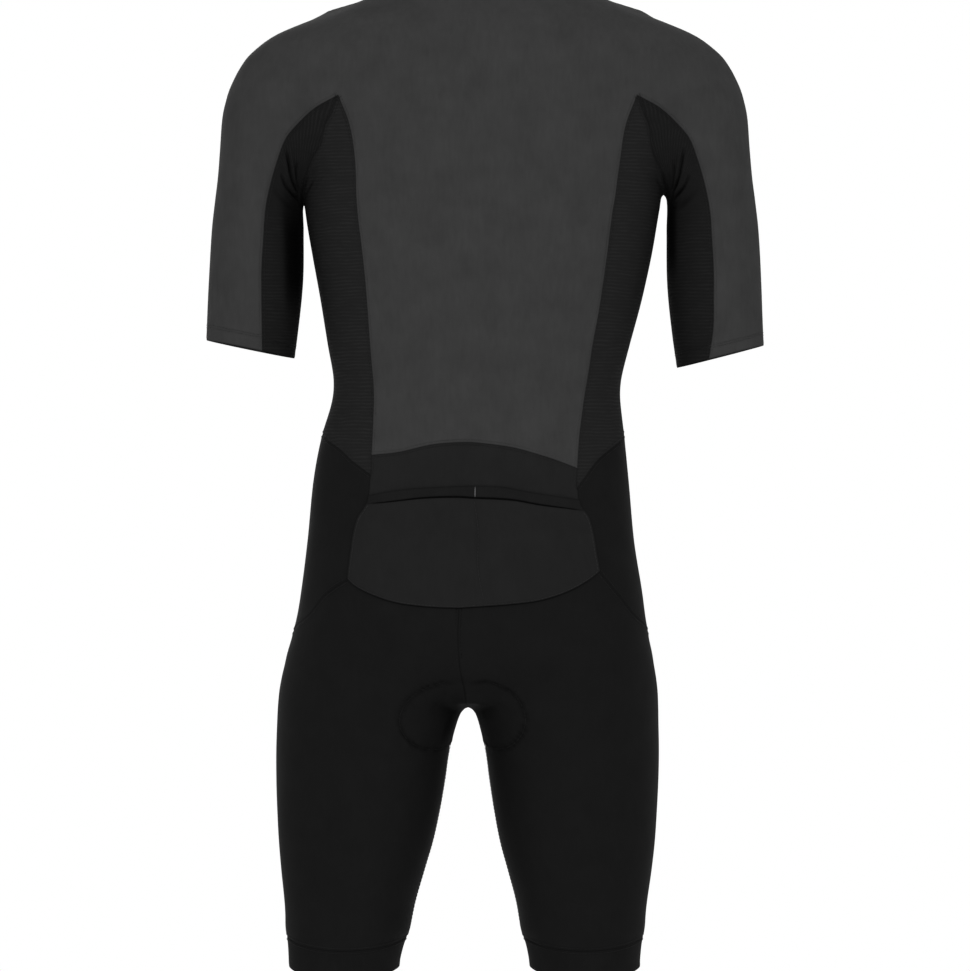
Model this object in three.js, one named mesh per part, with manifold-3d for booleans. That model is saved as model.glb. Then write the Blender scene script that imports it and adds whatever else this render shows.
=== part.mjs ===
// A short-sleeved triathlon suit, filled out as it is when worn, with no wearer in it.
// Millimetres. +Z is up, the front faces -Y, +X is the wearer's left. The origin is on the
// garment's centre line, at the height of the shoulder slopes that carry it.
//
// The hollow form is one smooth skin, worked out from tables of level sections: a trunk, a neck,
// two arms and two legs, blended where they meet. Each sewn piece is a wall of cloth on that skin,
// bounded by seams, and every seam is a line that the pieces on its two sides share.

import * as THREE from "three";
import { mergeVertices } from "three/addons/utils/BufferGeometryUtils.js";
import loadManifold from "manifold-3d";

const wasm = await loadManifold();
wasm.setup();

// Driving sizes
const CLOTH = 1.5; // wall of one layer, outside face on the skin
const SEAM_GAP = 0.4; // between two pieces at a seam
const LAYER_GAP = 0.4; // between two layers that lie on each other
const COLLAR_HEIGHT = 18;
const GRIPPER_TOP = -870;
const LEG_HEM = -898;
const RING_SAG = 9; // how far the gripper and hem dip at the back and the front
const ZIP_HALF_WIDTH = 4.5;
const PAD_TOP = -628; // the pad's back end
const PAD_FRONT_TOP = -608;
const PAD_GAP = 0.9;
const PAD_REACH = { left: 1, right: 0.84 }; // the lobes' widths as they show, next to each other
const LEG_SPACE = 4; // how far out the space kept clear for the legs' cloth reaches
const PAD_THICKNESS = { middle: 8, rim: 4 };
const SLIDER_FROM_TOP = 9; // from the collar's top edge to the middle of the zip's slider
const SEAM_SKEW = -2.5; // the seams sit this far towards the wearer's right

// Segments along each family of seams
const ACROSS_RAGLAN = 3;
const ACROSS_NECK_BACK = 10;
const ACROSS_NECK_FRONT = 5;
const ACROSS_BACK = 2 * ACROSS_RAGLAN + ACROSS_NECK_BACK;
const ACROSS_SIDE = 12;
const OVER_SHOULDER = 9;
const DOWN_SLEEVE = 10;
const DOWN_BODY = 12;
const DOWN_POCKET = 4;
const DOWN_HIP = 6;
const DOWN_SEAT = 6;
const DOWN_THIGH = 8;
const ALONG_PAD = 12;
const ACROSS_PAD = 3;

// Tables of level sections. Heights fall from row to row, and values between rows are smooth.

// The centre line's sideways shift: the hips stand a little to the wearer's left of the shoulders.
const MIDLINE = table(["shift"], [
  [-140, 0],
  [-180, 2.5],
  [-225, 2.7],
  [-266, 3.7],
  [-309, 6],
  [-337, 7],
  [-366, 8.6],
  [-395, 11.2],
  [-437, 13.2],
  [-494, 13.6],
  [-551, 12.7],
  [-608, 14.7],
  [-665, 16.2],
  [-722, 16.7],
  [-807, 17.7],
  [-893, 19.4],
]);

const TRUNK = table(["half", "back", "front"], [
  [48, 58, 50, 58],
  [32, 88, 66, 66],
  [19, 114, 77, 73],
  [8, 139, 84, 79],
  [-4, 171, 90, 85],
  [-15, 197, 94, 89],
  [-26, 209, 97, 92],
  [-38, 217, 99, 95],
  [-55, 217, 101, 99],
  [-75, 215, 103, 104],
  [-98, 194, 104, 109],
  [-125, 178, 104, 113],
  [-150, 171, 103, 115],
  [-171, 169, 102, 115],
  [-181, 168, 100, 115],
  [-223, 161, 96, 112],
  [-266, 152.5, 90, 108],
  [-309, 143, 83, 103],
  [-337, 137, 80, 100],
  [-352, 136, 79, 98],
  [-366, 137.5, 79, 97],
  [-395, 143.5, 80, 96],
  [-437, 149.5, 87, 96],
  [-494, 155, 98, 95],
  [-551, 163, 106, 92],
  [-585, 167, 107, 88],
  [-612, 164, 101, 80],
  [-632, 140, 84, 66],
  [-646, 105, 58, 46],
  [-654, 60, 30, 24],
]);
const TRUNK_TOP = 48;
const TRUNK_BOTTOM = -646;

// The same for both arms, measured out from the centre.
const ARM = table(["inner", "outer", "back", "front"], [
  [0, 140, 146, 8, 8],
  [-12, 134, 170, 22, 22],
  [-22, 130, 196, 31, 31],
  [-32, 128, 213, 39, 39],
  [-42, 127, 225, 45, 44],
  [-52, 126, 234, 50, 49],
  [-66, 128, 242, 55, 54],
  [-81, 133, 247, 58, 57],
  [-95, 140, 249.5, 59, 58],
  [-123, 154, 251.5, 58, 57],
  [-150, 166, 253.7, 56, 55],
  [-171, 172.5, 256.3, 54, 54],
  [-200, 172.5, 259.5, 53, 53],
  [-250, 173, 262.3, 51, 51],
  [-300, 178, 264.2, 49, 49],
  [-340, 184, 266, 47, 47],
]);
const ARM_TOP = 0;
const ARM_BOTTOM = -345;

// The same for both legs, measured out from the shifted centre line.
const LEG = table(["inner", "outer", "back", "front"], [
  [-560, -40, 150, 84, 74],
  [-585, -30, 164, 92, 80],
  [-608, -20, 174, 95, 83],
  [-632, -6, 179, 94, 85],
  [-650, 4, 180.5, 92, 86],
  [-665, 10.5, 181, 90, 86],
  [-693, 17.5, 181.7, 87, 85],
  [-722, 21.5, 181.4, 84, 83],
  [-750, 26, 180.3, 80, 80],
  [-779, 32, 178.6, 76, 76],
  [-807, 40, 175.8, 72, 71],
  [-836, 48, 172.2, 67, 66],
  [-864, 53.5, 169.7, 64, 62],
  [-879, 58, 168, 62, 60],
  [-893, 61, 167, 61, 59],
  [-910, 63, 166, 60, 58],
]);
const LEG_TOP = -560;

// How wide the skin is rounded where the arms leave the trunk, and where the legs part.
const ARMPIT_ROUNDING = table(["width"], [
  [-60, 34],
  [-100, 34],
  [-135, 22],
  [-160, 11],
  [-176, 4],
  [-195, 1],
]);
const CROTCH_ROUNDING = table(["width"], [
  [-600, 60],
  [-635, 36],
  [-645, 20],
  [-655, 12],
  [-672, 9],
  [-700, 2],
]);
const NECK_ROUNDING = 36;
const HIP_ROUNDING = 14;

const NECK = {
  base: new THREE.Vector3(0, -8, 34),
  lean: THREE.MathUtils.degToRad(20),
  halfWidth: 62,
  halfDepth: 60,
  buried: 45, // length of the neck inside the trunk
  sideRise: 22, // how much higher the neck seam runs over the shoulders
};
const TRUNK_ROUNDNESS = 2.4; // 2 is an ellipse, more is boxier
const LIMB_ROUNDNESS = 2.1;

// A table's columns as smooth functions of height, joined by cubic curves from row to row.
function table(names, rows) {
  const columns = {};
  names.forEach((name, index) => {
    const value = (i) => rows[i][index + 1];
    const slopes = rows.map((row, i) => {
      const before = Math.max(i - 1, 0);
      const after = Math.min(i + 1, rows.length - 1);
      return (value(after) - value(before)) / (rows[after][0] - rows[before][0]);
    });
    columns[name] = (height) => {
      if (height >= rows[0][0]) return value(0);
      if (height <= rows[rows.length - 1][0]) return value(rows.length - 1);
      let i = 0;
      while (height < rows[i + 1][0]) i += 1;
      const span = rows[i + 1][0] - rows[i][0];
      const t = (height - rows[i][0]) / span;
      const rise = value(i + 1) - value(i);
      const startBend = slopes[i] * span - rise;
      const endBend = rise - slopes[i + 1] * span;
      return value(i) + t * rise + t * (1 - t) * ((1 - t) * startBend + t * endBend);
    };
  });
  return columns;
}

// The skin: distance outside it, roughly in millimetres, and negative inside.

// Distance of a point from an oval section, along the line from the section's centre.
function ovalDistance(across, along, half, depth, roundness) {
  const reach = Math.hypot(across, along);
  if (reach < 1e-6) return -Math.min(half, depth);
  const ratio =
    (Math.abs(across / half) ** roundness + Math.abs(along / depth) ** roundness) ** (1 / roundness);
  return reach - reach / ratio;
}

function blend(a, b, width) {
  const overlap = Math.max(width - Math.abs(a - b), 0) / width;
  return Math.min(a, b) - (overlap * overlap * width) / 4;
}

function limbDistance(limb, out, y, z) {
  const centre = (limb.inner(z) + limb.outer(z)) / 2;
  const half = (limb.outer(z) - limb.inner(z)) / 2;
  const depth = y > 0 ? limb.back(z) : limb.front(z);
  return ovalDistance(out - centre, y, half, depth, LIMB_ROUNDNESS);
}

function neckDistance(x, y, z) {
  const dy = y - NECK.base.y;
  const dz = z - NECK.base.z;
  const back = dy * Math.cos(NECK.lean) + dz * Math.sin(NECK.lean);
  const up = dz * Math.cos(NECK.lean) - dy * Math.sin(NECK.lean);
  return Math.max(ovalDistance(x, back, NECK.halfWidth, NECK.halfDepth, 2), -NECK.buried - up);
}

function trunkDistance({ x, y, z }) {
  const depth = y > 0 ? TRUNK.back(z) : TRUNK.front(z);
  const level = ovalDistance(x - MIDLINE.shift(z), y, TRUNK.half(z), depth, TRUNK_ROUNDNESS);
  return Math.max(level, z - TRUNK_TOP, TRUNK_BOTTOM - z);
}

const armDistance = ({ x, y, z }) =>
  Math.max(limbDistance(ARM, Math.abs(x), y, z), z - ARM_TOP, ARM_BOTTOM - z);

function skinDistance(point) {
  const { x, y, z } = point;
  const shifted = x - MIDLINE.shift(z);
  const trunk = blend(trunkDistance(point), neckDistance(x, y, z), NECK_ROUNDING);
  const legs = blend(
    limbDistance(LEG, shifted, y, z),
    limbDistance(LEG, -shifted, y, z),
    CROTCH_ROUNDING.width(z),
  );
  const upper = blend(trunk, armDistance(point), ARMPIT_ROUNDING.width(z));
  return blend(upper, Math.max(legs, z - LEG_TOP), HIP_ROUNDING);
}

const AXES = [new THREE.Vector3(1, 0, 0), new THREE.Vector3(0, 1, 0), new THREE.Vector3(0, 0, 1)];
const PROBE = 0.4; // step used to read the skin's slope

function skinSlope(point) {
  const [x, y, z] = AXES.map((axis) => {
    const ahead = skinDistance(point.clone().addScaledVector(axis, PROBE));
    const behind = skinDistance(point.clone().addScaledVector(axis, -PROBE));
    return (ahead - behind) / (2 * PROBE);
  });
  return new THREE.Vector3(x, y, z);
}

const outward = (point) => skinSlope(point).normalize();

// Moves a point straight to the skin.
function settle(point) {
  const settled = point.clone();
  for (let round = 0; round < 12; round += 1) {
    const slope = skinSlope(settled);
    const step = THREE.MathUtils.clamp(skinDistance(settled) / slope.length(), -25, 25);
    settled.addScaledVector(slope.normalize(), -step);
  }
  return settled;
}

// The place between two limits where a value turns from negative to positive.
function crossing(value, low, high) {
  let [below, above] = [low, high];
  for (let round = 0; round < 30; round += 1) {
    const middle = (below + above) / 2;
    if (value(middle) < 0) below = middle;
    else above = middle;
  }
  return above;
}

// Where a line that starts inside the skin first leaves it.
function leaves(start, direction) {
  const at = (reach) => start.clone().addScaledVector(direction, reach);
  let far = 0;
  while (skinDistance(at(far)) < 0) far += 4;
  return at(crossing((reach) => skinDistance(at(reach)), Math.max(far - 4, 0), far));
}

// The top of the fold between the trunk and an arm, on the side s, at a distance behind the middle.
function armpit(s, back) {
  const at = (drop) => {
    const height = -100 - drop;
    const point = (out) => new THREE.Vector3(s * out, back, height);
    const out = crossing((x) => trunkDistance(point(x)) - armDistance(point(x)), 90, 230);
    return point(out);
  };
  return at(crossing((drop) => skinDistance(at(drop)), 0, 100));
}

// A point of the skin as a viewer behind the suit sees it, from its place across and up in the
// middle plane, where the sizes were taken.
const VIEWER = new THREE.Vector3(0, 5000, -442);
const seenBehind = (x, height) => {
  const middle = new THREE.Vector3(x, 0, height);
  return leaves(middle, VIEWER.clone().sub(middle).normalize());
};
// The same, and one straight from the front, at a place out from the shifted centre line.
const place = (out, height) => MIDLINE.shift(height) + out;
const behind = (out, height) => seenBehind(place(out, height), height);
const before = (out, height) =>
  leaves(new THREE.Vector3(place(out, height), 0, height), new THREE.Vector3(0, -1, 0));

// A point of the skin in the plane of two unit directions, at an angle round a centre.
function round(centre, zeroWay, quarterWay, degrees) {
  const angle = THREE.MathUtils.degToRad(degrees);
  const way = zeroWay
    .clone()
    .multiplyScalar(Math.cos(angle))
    .addScaledVector(quarterWay, Math.sin(angle));
  return leaves(centre, way);
}

// Seams

// A seam through a few guide points, in even steps, each step laid on the skin. Its two ends
// are the first and last guide points themselves.
function seam(guides, segments) {
  const route = new THREE.CatmullRomCurve3(guides, false, "centripetal");
  return route.getSpacedPoints(segments).map((point, i) => {
    if (i === 0) return guides[0];
    return i === segments ? last(guides) : settle(point);
  });
}

const joined = (...seams) => seams.flatMap((points, i) => (i ? points.slice(1) : points));
const reversed = (points) => [...points].reverse();
const last = (points) => points[points.length - 1];

const BACK_WAY = new THREE.Vector3(0, 1, 0);
const UP = new THREE.Vector3(0, 0, 1);
const SIDES = { left: 1, right: -1 };

// The neck's ring at a height along the leaning neck. 0 degrees is the wearer's left, 90 the back.
function neckRing(height, degrees) {
  const up = new THREE.Vector3(0, -Math.sin(NECK.lean), Math.cos(NECK.lean));
  const back = new THREE.Vector3(0, Math.cos(NECK.lean), Math.sin(NECK.lean));
  const rise = NECK.sideRise * Math.cos(THREE.MathUtils.degToRad(degrees)) ** 2;
  const centre = NECK.base.clone().addScaledVector(up, height + rise);
  return round(centre, AXES[0], back, degrees);
}
const RAGLAN_TOP = -38; // degrees round the neck where the front seam of the sleeve piece ends
const ZIP_AT_NECK = THREE.MathUtils.radToDeg(Math.acos(ZIP_HALF_WIDTH / NECK.halfDepth));

function neckArc(height, from, to, segments) {
  const points = [];
  for (let i = 0; i <= segments; i += 1) {
    points.push(neckRing(height, from + ((to - from) * i) / segments));
  }
  return points;
}

// Seams of one side of the body. out is measured from the shifted centre line.
const SIDE_SEAM_BACK = table(["out"], [
  [-71, 142],
  [-85, 135.5],
  [-101, 131],
  [-115, 128.5],
  [-132, 126.2],
  [-167, 123.1],
  [-206, 118.4],
  [-248, 113.3],
  [-279, 109.7],
  [-312, 105.4],
  [-343, 101.9],
  [-361, 99.8],
  [-389, 98.6],
  [-430, 98],
]);
const SIDE_SEAM_FRONT = table(["out"], [
  [-92, 130],
  [-120, 122],
  [-167, 117],
  [-243, 110],
  [-312, 104],
  [-389, 100],
  [-430, 98],
]);
const APEX = { out: 142, height: -71 }; // back point where the sleeve, side and back pieces meet
const FRONT_APEX = { out: 130, height: -92 };

// The sleeve piece's back edge, from the apex down to the sleeve's hem.
const SLEEVE_EDGE = [
  { out: 163.5, height: -83 },
  { out: 180, height: -98 },
  { out: 191.5, height: -112 },
  { out: 199.3, height: -132 },
  { out: 206, height: -155 },
  { out: 211, height: -180 },
  { out: 213, height: -208 },
  { out: 214.7, height: -238 },
  { out: 214.7, height: -262 },
  { out: 214.3, height: -292 },
];
// The armhole's lower edge, from the back apex under the arm.
const ARMHOLE_BACK = {
  left: [[148, -88], [154, -98.5], [158.5, -118], [166.5, -131]],
  right: [[148, -88], [152.9, -98.5], [155.5, -120.7], [158.5, -130]],
};
const ARMPIT_FOLD = [30, 18, 5, -10, -30]; // from the middle, towards the back
const ARMHOLE_FRONT = [
  { out: 168, back: -50, height: -138 },
  { out: 158, back: -62, height: -124 },
  { out: 142, back: -74, height: -110 },
];

const SLEEVE_HEM = {
  left: { inner: -321, outer: -304 },
  right: { inner: -330, outer: -309 },
};
const HEM_BACK_EDGE = 106; // degrees round the hem, from outwards through the back
const HEM_FRONT_EDGE = -104;

const CORNERS = {
  // heights on the lower back: the grey piece's corner, the side piece's corner, the pocket's
  // band, mouth and lower corner
  left: { grey: -413, side: -432, band: -452, mouth: -460, pocket: -531 },
  right: { grey: -425.5, side: -445, band: -456, mouth: -466.5, pocket: -523.5 },
};
// The pocket's lower edge, from its corner towards the middle.
const POCKET_FOOT = {
  left: [[112, -538], [91.4, -548], [70.5, -554], [38.2, -557.6]],
  right: [[108, -532], [89, -542.5], [63.4, -551], [36, -554.8]],
};
const POCKET_EDGE = table(["out"], [
  [-409, 98],
  [-432, 98.5],
  [-452, 99.5],
  [-461, 101.5],
  [-467, 105.5],
  [-473, 109.3],
  [-486, 113],
  [-503, 115.7],
  [-523, 118.7],
  [-531, 119.5],
]);

function sideSeams(side) {
  const s = SIDES[side];
  const outwards = new THREE.Vector3(s, 0, 0);
  const inward = new THREE.Vector3(-s, 0, 0);
  const trunkCentre = (height) => new THREE.Vector3(MIDLINE.shift(height), 0, height);
  const armCentre = (height) =>
    new THREE.Vector3((s * (ARM.inner(height) + ARM.outer(height))) / 2, 0, height);
  const legCentre = (height) =>
    new THREE.Vector3(
      MIDLINE.shift(height) + (s * (LEG.inner(height) + LEG.outer(height))) / 2,
      0,
      height,
    );
  const at = (view, { out, height }) => view(s * out + SEAM_SKEW, height);
  const apex = at(behind, APEX);
  const frontApex = at(before, FRONT_APEX);
  const corners = CORNERS[side];

  // Down a table of places from one height to another.
  const down = (view, places, from, to, segments) => {
    const rows = [];
    const steps = 12;
    for (let i = 0; i <= steps; i += 1) {
      const height = from + ((to - from) * i) / steps;
      rows.push(view(s * places.out(height) + SEAM_SKEW, height));
    }
    return seam(rows, segments);
  };
  const backEdge = down(behind, SIDE_SEAM_BACK, APEX.height, corners.grey, DOWN_BODY);
  const backEdgeLow = down(behind, SIDE_SEAM_BACK, corners.grey, corners.side, 1);
  const frontEdge = down(before, SIDE_SEAM_FRONT, FRONT_APEX.height, -425, DOWN_BODY + 1);

  // Sleeve
  const hem = SLEEVE_HEM[side];
  const hemInner = new THREE.Vector3(s * ARM.inner(hem.inner), 0, hem.inner);
  const hemOuter = new THREE.Vector3(s * ARM.outer(hem.outer), 0, hem.outer);
  const hemWay = hemOuter.clone().sub(hemInner).normalize();
  const hemCentre = hemInner.clone().add(hemOuter).multiplyScalar(0.5);
  const hemArc = (from, to, segments) => {
    const points = [];
    for (let i = 0; i <= segments; i += 1) {
      points.push(round(hemCentre, hemWay, BACK_WAY, from + ((to - from) * i) / segments));
    }
    return points;
  };
  const hemOver = hemArc(HEM_BACK_EDGE, HEM_FRONT_EDGE, OVER_SHOULDER);
  const hemUnder = hemArc(HEM_BACK_EDGE, HEM_FRONT_EDGE + 360, ACROSS_SIDE);
  const fromBehind = ({ out, height }) => seenBehind(s * out + SEAM_SKEW, height);
  const fromFront = ({ out, height }) =>
    leaves(new THREE.Vector3(s * out + SEAM_SKEW, 0, height), new THREE.Vector3(0, -1, 0));
  const sleeveBack = seam([apex, ...SLEEVE_EDGE.map(fromBehind), hemOver[0]], DOWN_SLEEVE);
  const sleeveFront = seam(
    [frontApex, ...SLEEVE_EDGE.slice(1).map(fromFront), last(hemOver)],
    DOWN_SLEEVE,
  );
  const near = ({ out, back, height }) => settle(new THREE.Vector3(s * out, back, height));
  const armholeBack = ARMHOLE_BACK[side].map(([out, height]) => fromBehind({ out, height }));
  const fold = ARMPIT_FOLD.map((back) => armpit(s, back));
  const armhole = seam(
    [apex, ...armholeBack, ...fold, ...ARMHOLE_FRONT.map(near), frontApex],
    ACROSS_SIDE,
  );
  const shoulderCentre = new THREE.Vector3(s * APEX.out + SEAM_SKEW, 0, APEX.height);
  const overTop = [30, 60, 90, 120, 150].map((degrees) =>
    round(shoulderCentre, BACK_WAY, UP, degrees),
  );
  const shoulder = seam([apex, ...overTop, frontApex], OVER_SHOULDER);
  const neckFrontPoint = neckRing(0, s > 0 ? RAGLAN_TOP : 180 - RAGLAN_TOP);
  const raglan = seam(
    [
      frontApex,
      settle(frontApex.clone().lerp(neckFrontPoint, 0.4).add(new THREE.Vector3(0, -12, 6))),
      settle(frontApex.clone().lerp(neckFrontPoint, 0.75).add(new THREE.Vector3(0, -8, 4))),
      neckFrontPoint,
    ],
    ACROSS_RAGLAN,
  );

  // Front
  const zipAngle = s > 0 ? -ZIP_AT_NECK : ZIP_AT_NECK - 180;
  const neckFront = neckArc(0, s > 0 ? RAGLAN_TOP : -180 - RAGLAN_TOP, zipAngle, ACROSS_NECK_FRONT);
  const zipHeights = [-45, -90, -140, -200, -260, -320, -380];
  const zipBottom = before(s * ZIP_HALF_WIDTH, -432);
  const zipEdge = seam(
    [last(neckFront), ...zipHeights.map((h) => before(s * ZIP_HALF_WIDTH, h)), zipBottom],
    DOWN_BODY + 1,
  );
  const waist = seam(
    [zipBottom, before(s * 35, -431), before(s * 68, -428), last(frontEdge)],
    ACROSS_RAGLAN + ACROSS_NECK_FRONT,
  );

  // Hip piece and pocket
  const flank = (height) => leaves(trunkCentre(height), outwards);
  const sideBottom = seam(
    [
      last(backEdgeLow),
      behind(s * 117 + SEAM_SKEW, -418),
      behind(s * 128 + SEAM_SKEW, -408),
      flank(-393),
      before(s * 124, -402),
      last(frontEdge),
    ],
    ACROSS_SIDE,
  );
  const pocketTop = down(behind, POCKET_EDGE, corners.side, corners.band, 1);
  const pocketBand = down(behind, POCKET_EDGE, corners.band, corners.mouth, 1);
  const pocketSide = down(behind, POCKET_EDGE, corners.mouth, corners.pocket, DOWN_POCKET);
  const pocketCorner = last(pocketSide);
  const seatTop = behind(12, -558.4);
  const pocketBottom = seam(
    [
      pocketCorner,
      ...POCKET_FOOT[side].map(([out, height]) => behind(s * out + SEAM_SKEW, height)),
      seatTop,
    ],
    ACROSS_BACK / 2,
  );
  const bellyPoint = before(0, -520);
  const hipBottom = seam(
    [
      pocketCorner,
      behind(s * 139, -546),
      behind(s * 154, -565),
      flank(-581),
      before(s * 150, -577),
      before(s * 112, -556),
      before(s * 60, -532),
      bellyPoint,
    ],
    ACROSS_SIDE + waist.length,
  );
  const centreFront = seam(
    [before(0, -432), before(0, -460), before(0, -490), bellyPoint],
    DOWN_HIP,
  );

  // Leg
  const crotch = settle(new THREE.Vector3(MIDLINE.shift(-653), 0, -650));
  const seat = seam([seatTop, behind(12, -585), behind(9, -615), behind(4, -636), crotch], DOWN_SEAT);
  const fly = seam([bellyPoint, before(0, -560), before(0, -600), before(0, -630), crotch], DOWN_SEAT);
  const inseamHeights = [-672, -700, -730, -765, -800, -835, GRIPPER_TOP];
  const inseam = seam(
    [crotch, ...inseamHeights.map((height) => leaves(legCentre(height), inward))],
    DOWN_THIGH,
  );
  const legRing = (height) => {
    const segments = ACROSS_BACK / 2 + ACROSS_SIDE + waist.length;
    const points = [];
    for (let i = 0; i <= segments; i += 1) {
      const turn = 180 - (360 * i) / segments;
      const dip = RING_SAG * Math.sin(THREE.MathUtils.degToRad(turn)) ** 2;
      points.push(round(legCentre(height - dip), outwards, BACK_WAY, turn));
    }
    return points;
  };
  // The seat pad's half: its middle follows the centre seam, its rim is the lobe's outline.
  const padMiddle = seam(
    [behind(0, PAD_TOP), behind(0, -641), crotch, before(0, -636), before(0, PAD_FRONT_TOP)],
    ALONG_PAD,
  );
  const lobe = s * PAD_REACH[side];
  const padRim = seam(
    [
      behind(lobe * 22, PAD_TOP),
      behind(lobe * 40, -634),
      behind(lobe * 58, -647),
      behind(lobe * 65, -662),
      behind(lobe * 62, -677),
      behind(lobe * 48, -690),
      leaves(legCentre(-686), inward),
      before(lobe * 40, -672),
      before(lobe * 46, -655),
      before(lobe * 42, -630),
      before(lobe * 22, PAD_FRONT_TOP),
    ],
    ALONG_PAD,
  );
  const padBack = seam([padMiddle[0], padRim[0]], ACROSS_PAD);
  const padFront = seam([last(padMiddle), last(padRim)], ACROSS_PAD);

  return {
    padMiddle, padRim, padBack, padFront,
    apex, frontApex, backEdge, backEdgeLow, frontEdge, sleeveBack, sleeveFront, armhole, shoulder,
    raglan, neckFront, zipEdge, waist, sideBottom, pocketTop, pocketBand, pocketSide, pocketBottom,
    hipBottom, centreFront, seat, fly, inseam, legRing, hemOver, hemUnder,
    outwards, inward, trunkCentre, armCentre, legCentre,
  };
}

const LEFT = sideSeams("left");
const RIGHT = sideSeams("right");
const BOTH = { left: LEFT, right: RIGHT };

// Seams that cross the back
const across = (from, places, to) =>
  seam([from, ...places.map(([out, height]) => behind(out, height)), to], ACROSS_BACK);
const YOKE_LINE = across(
  LEFT.apex,
  [[100, -71], [50, -71], [0, -71], [-50, -71], [-100, -71]],
  RIGHT.apex,
);
const GREY_HEM = across(
  last(LEFT.backEdge),
  [[70.8, -410.4], [37, -402.8], [5.6, -400.9], [-9.6, -401.9], [-37.4, -405.7], [-69, -414.2]],
  last(RIGHT.backEdge),
);
const BAND_LINE = across(
  last(LEFT.pocketTop),
  [[79.7, -448.4], [56, -445.5], [24.6, -443.7], [-3, -442.7], [-28.6, -443.7], [-60, -449.4]],
  last(RIGHT.pocketTop),
);
const MOUTH_LINE = across(
  last(LEFT.pocketBand),
  [[77.8, -457.9], [43.6, -454.1], [14.2, -453.2], [-3, -454.1], [-39, -456], [-66.6, -460.8]],
  last(RIGHT.pocketBand),
);
const POCKET_HEM = joined(LEFT.pocketBottom, reversed(RIGHT.pocketBottom));
const NECK_BACK = neckArc(0, RAGLAN_TOP, 180 - RAGLAN_TOP, ACROSS_NECK_BACK);
const NECK_SEAM = joined(reversed(LEFT.neckFront), NECK_BACK, RIGHT.neckFront);

// Cloth

// Fills four seams with an even net of points on the skin. The top and bottom seams run the same
// way, and so do the left and right ones.
function net({ top, bottom, left, right }, pull = 1) {
  const rows = left.length - 1;
  const columns = top.length - 1;
  if (right.length !== left.length || bottom.length !== top.length) {
    throw new Error(`seams don't match: ${top.length} ${bottom.length} ${left.length} ${right.length}`);
  }
  return left.map((_, j) => {
    const v = j / rows;
    return top.map((_unused, i) => {
      if (j === 0) return top[i];
      if (j === rows) return bottom[i];
      if (i === 0) return left[j];
      if (i === columns) return right[j];
      const u = i / columns;
      const guide = top[i].clone().lerp(bottom[i], v);
      const leftBow = left[j].clone().sub(top[0].clone().lerp(bottom[0], v));
      const rightBow = right[j].clone().sub(top[columns].clone().lerp(bottom[columns], v));
      guide.addScaledVector(leftBow, (1 - u) ** pull).addScaledVector(rightBow, u ** pull);
      return settle(guide);
    });
  });
}

// The same for a piece that bends far round a centre line: the net is even in height and in the
// angle from zeroWay, and its points are where level lines from the centre leave the skin.
const SEAM_PULL = 3; // how soon the pull of a curved side seam fades inside the piece
function tubeNet(seams, centreAt, zeroWay) {
  const read = (points, nearTurn) => {
    let previous = nearTurn;
    return points.map((point) => {
      const from = point.clone().sub(centreAt(point.z));
      let turn = THREE.MathUtils.radToDeg(Math.atan2(from.dot(BACK_WAY), from.dot(zeroWay)));
      while (turn < previous - 180) turn += 360;
      while (turn > previous + 180) turn -= 360;
      previous = turn;
      return [turn, point.z];
    });
  };
  const top = read(seams.top, 135);
  const bottom = read(seams.bottom, 135);
  const left = read(seams.left, 135);
  const right = read(seams.right, -135);
  const rows = left.length - 1;
  const columns = top.length - 1;
  return seams.left.map((_, j) => {
    const v = j / rows;
    return seams.top.map((_unused, i) => {
      if (j === 0) return seams.top[i];
      if (j === rows) return seams.bottom[i];
      if (i === 0) return seams.left[j];
      if (i === columns) return seams.right[j];
      const u = i / columns;
      const [turn, height] = [0, 1].map((k) => {
        const straight = (from, to) => (1 - v) * from[k] + v * to[k];
        return (
          straight(top[i], bottom[i]) +
          (1 - u) ** SEAM_PULL * (left[j][k] - straight(top[0], bottom[0])) +
          u ** SEAM_PULL * (right[j][k] - straight(top[columns], bottom[columns]))
        );
      });
      return round(centreAt(height), zeroWay, BACK_WAY, turn);
    });
  });
}

const SPLIT_WAY = new THREE.Vector3(1, 0.31, 0.17);

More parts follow.
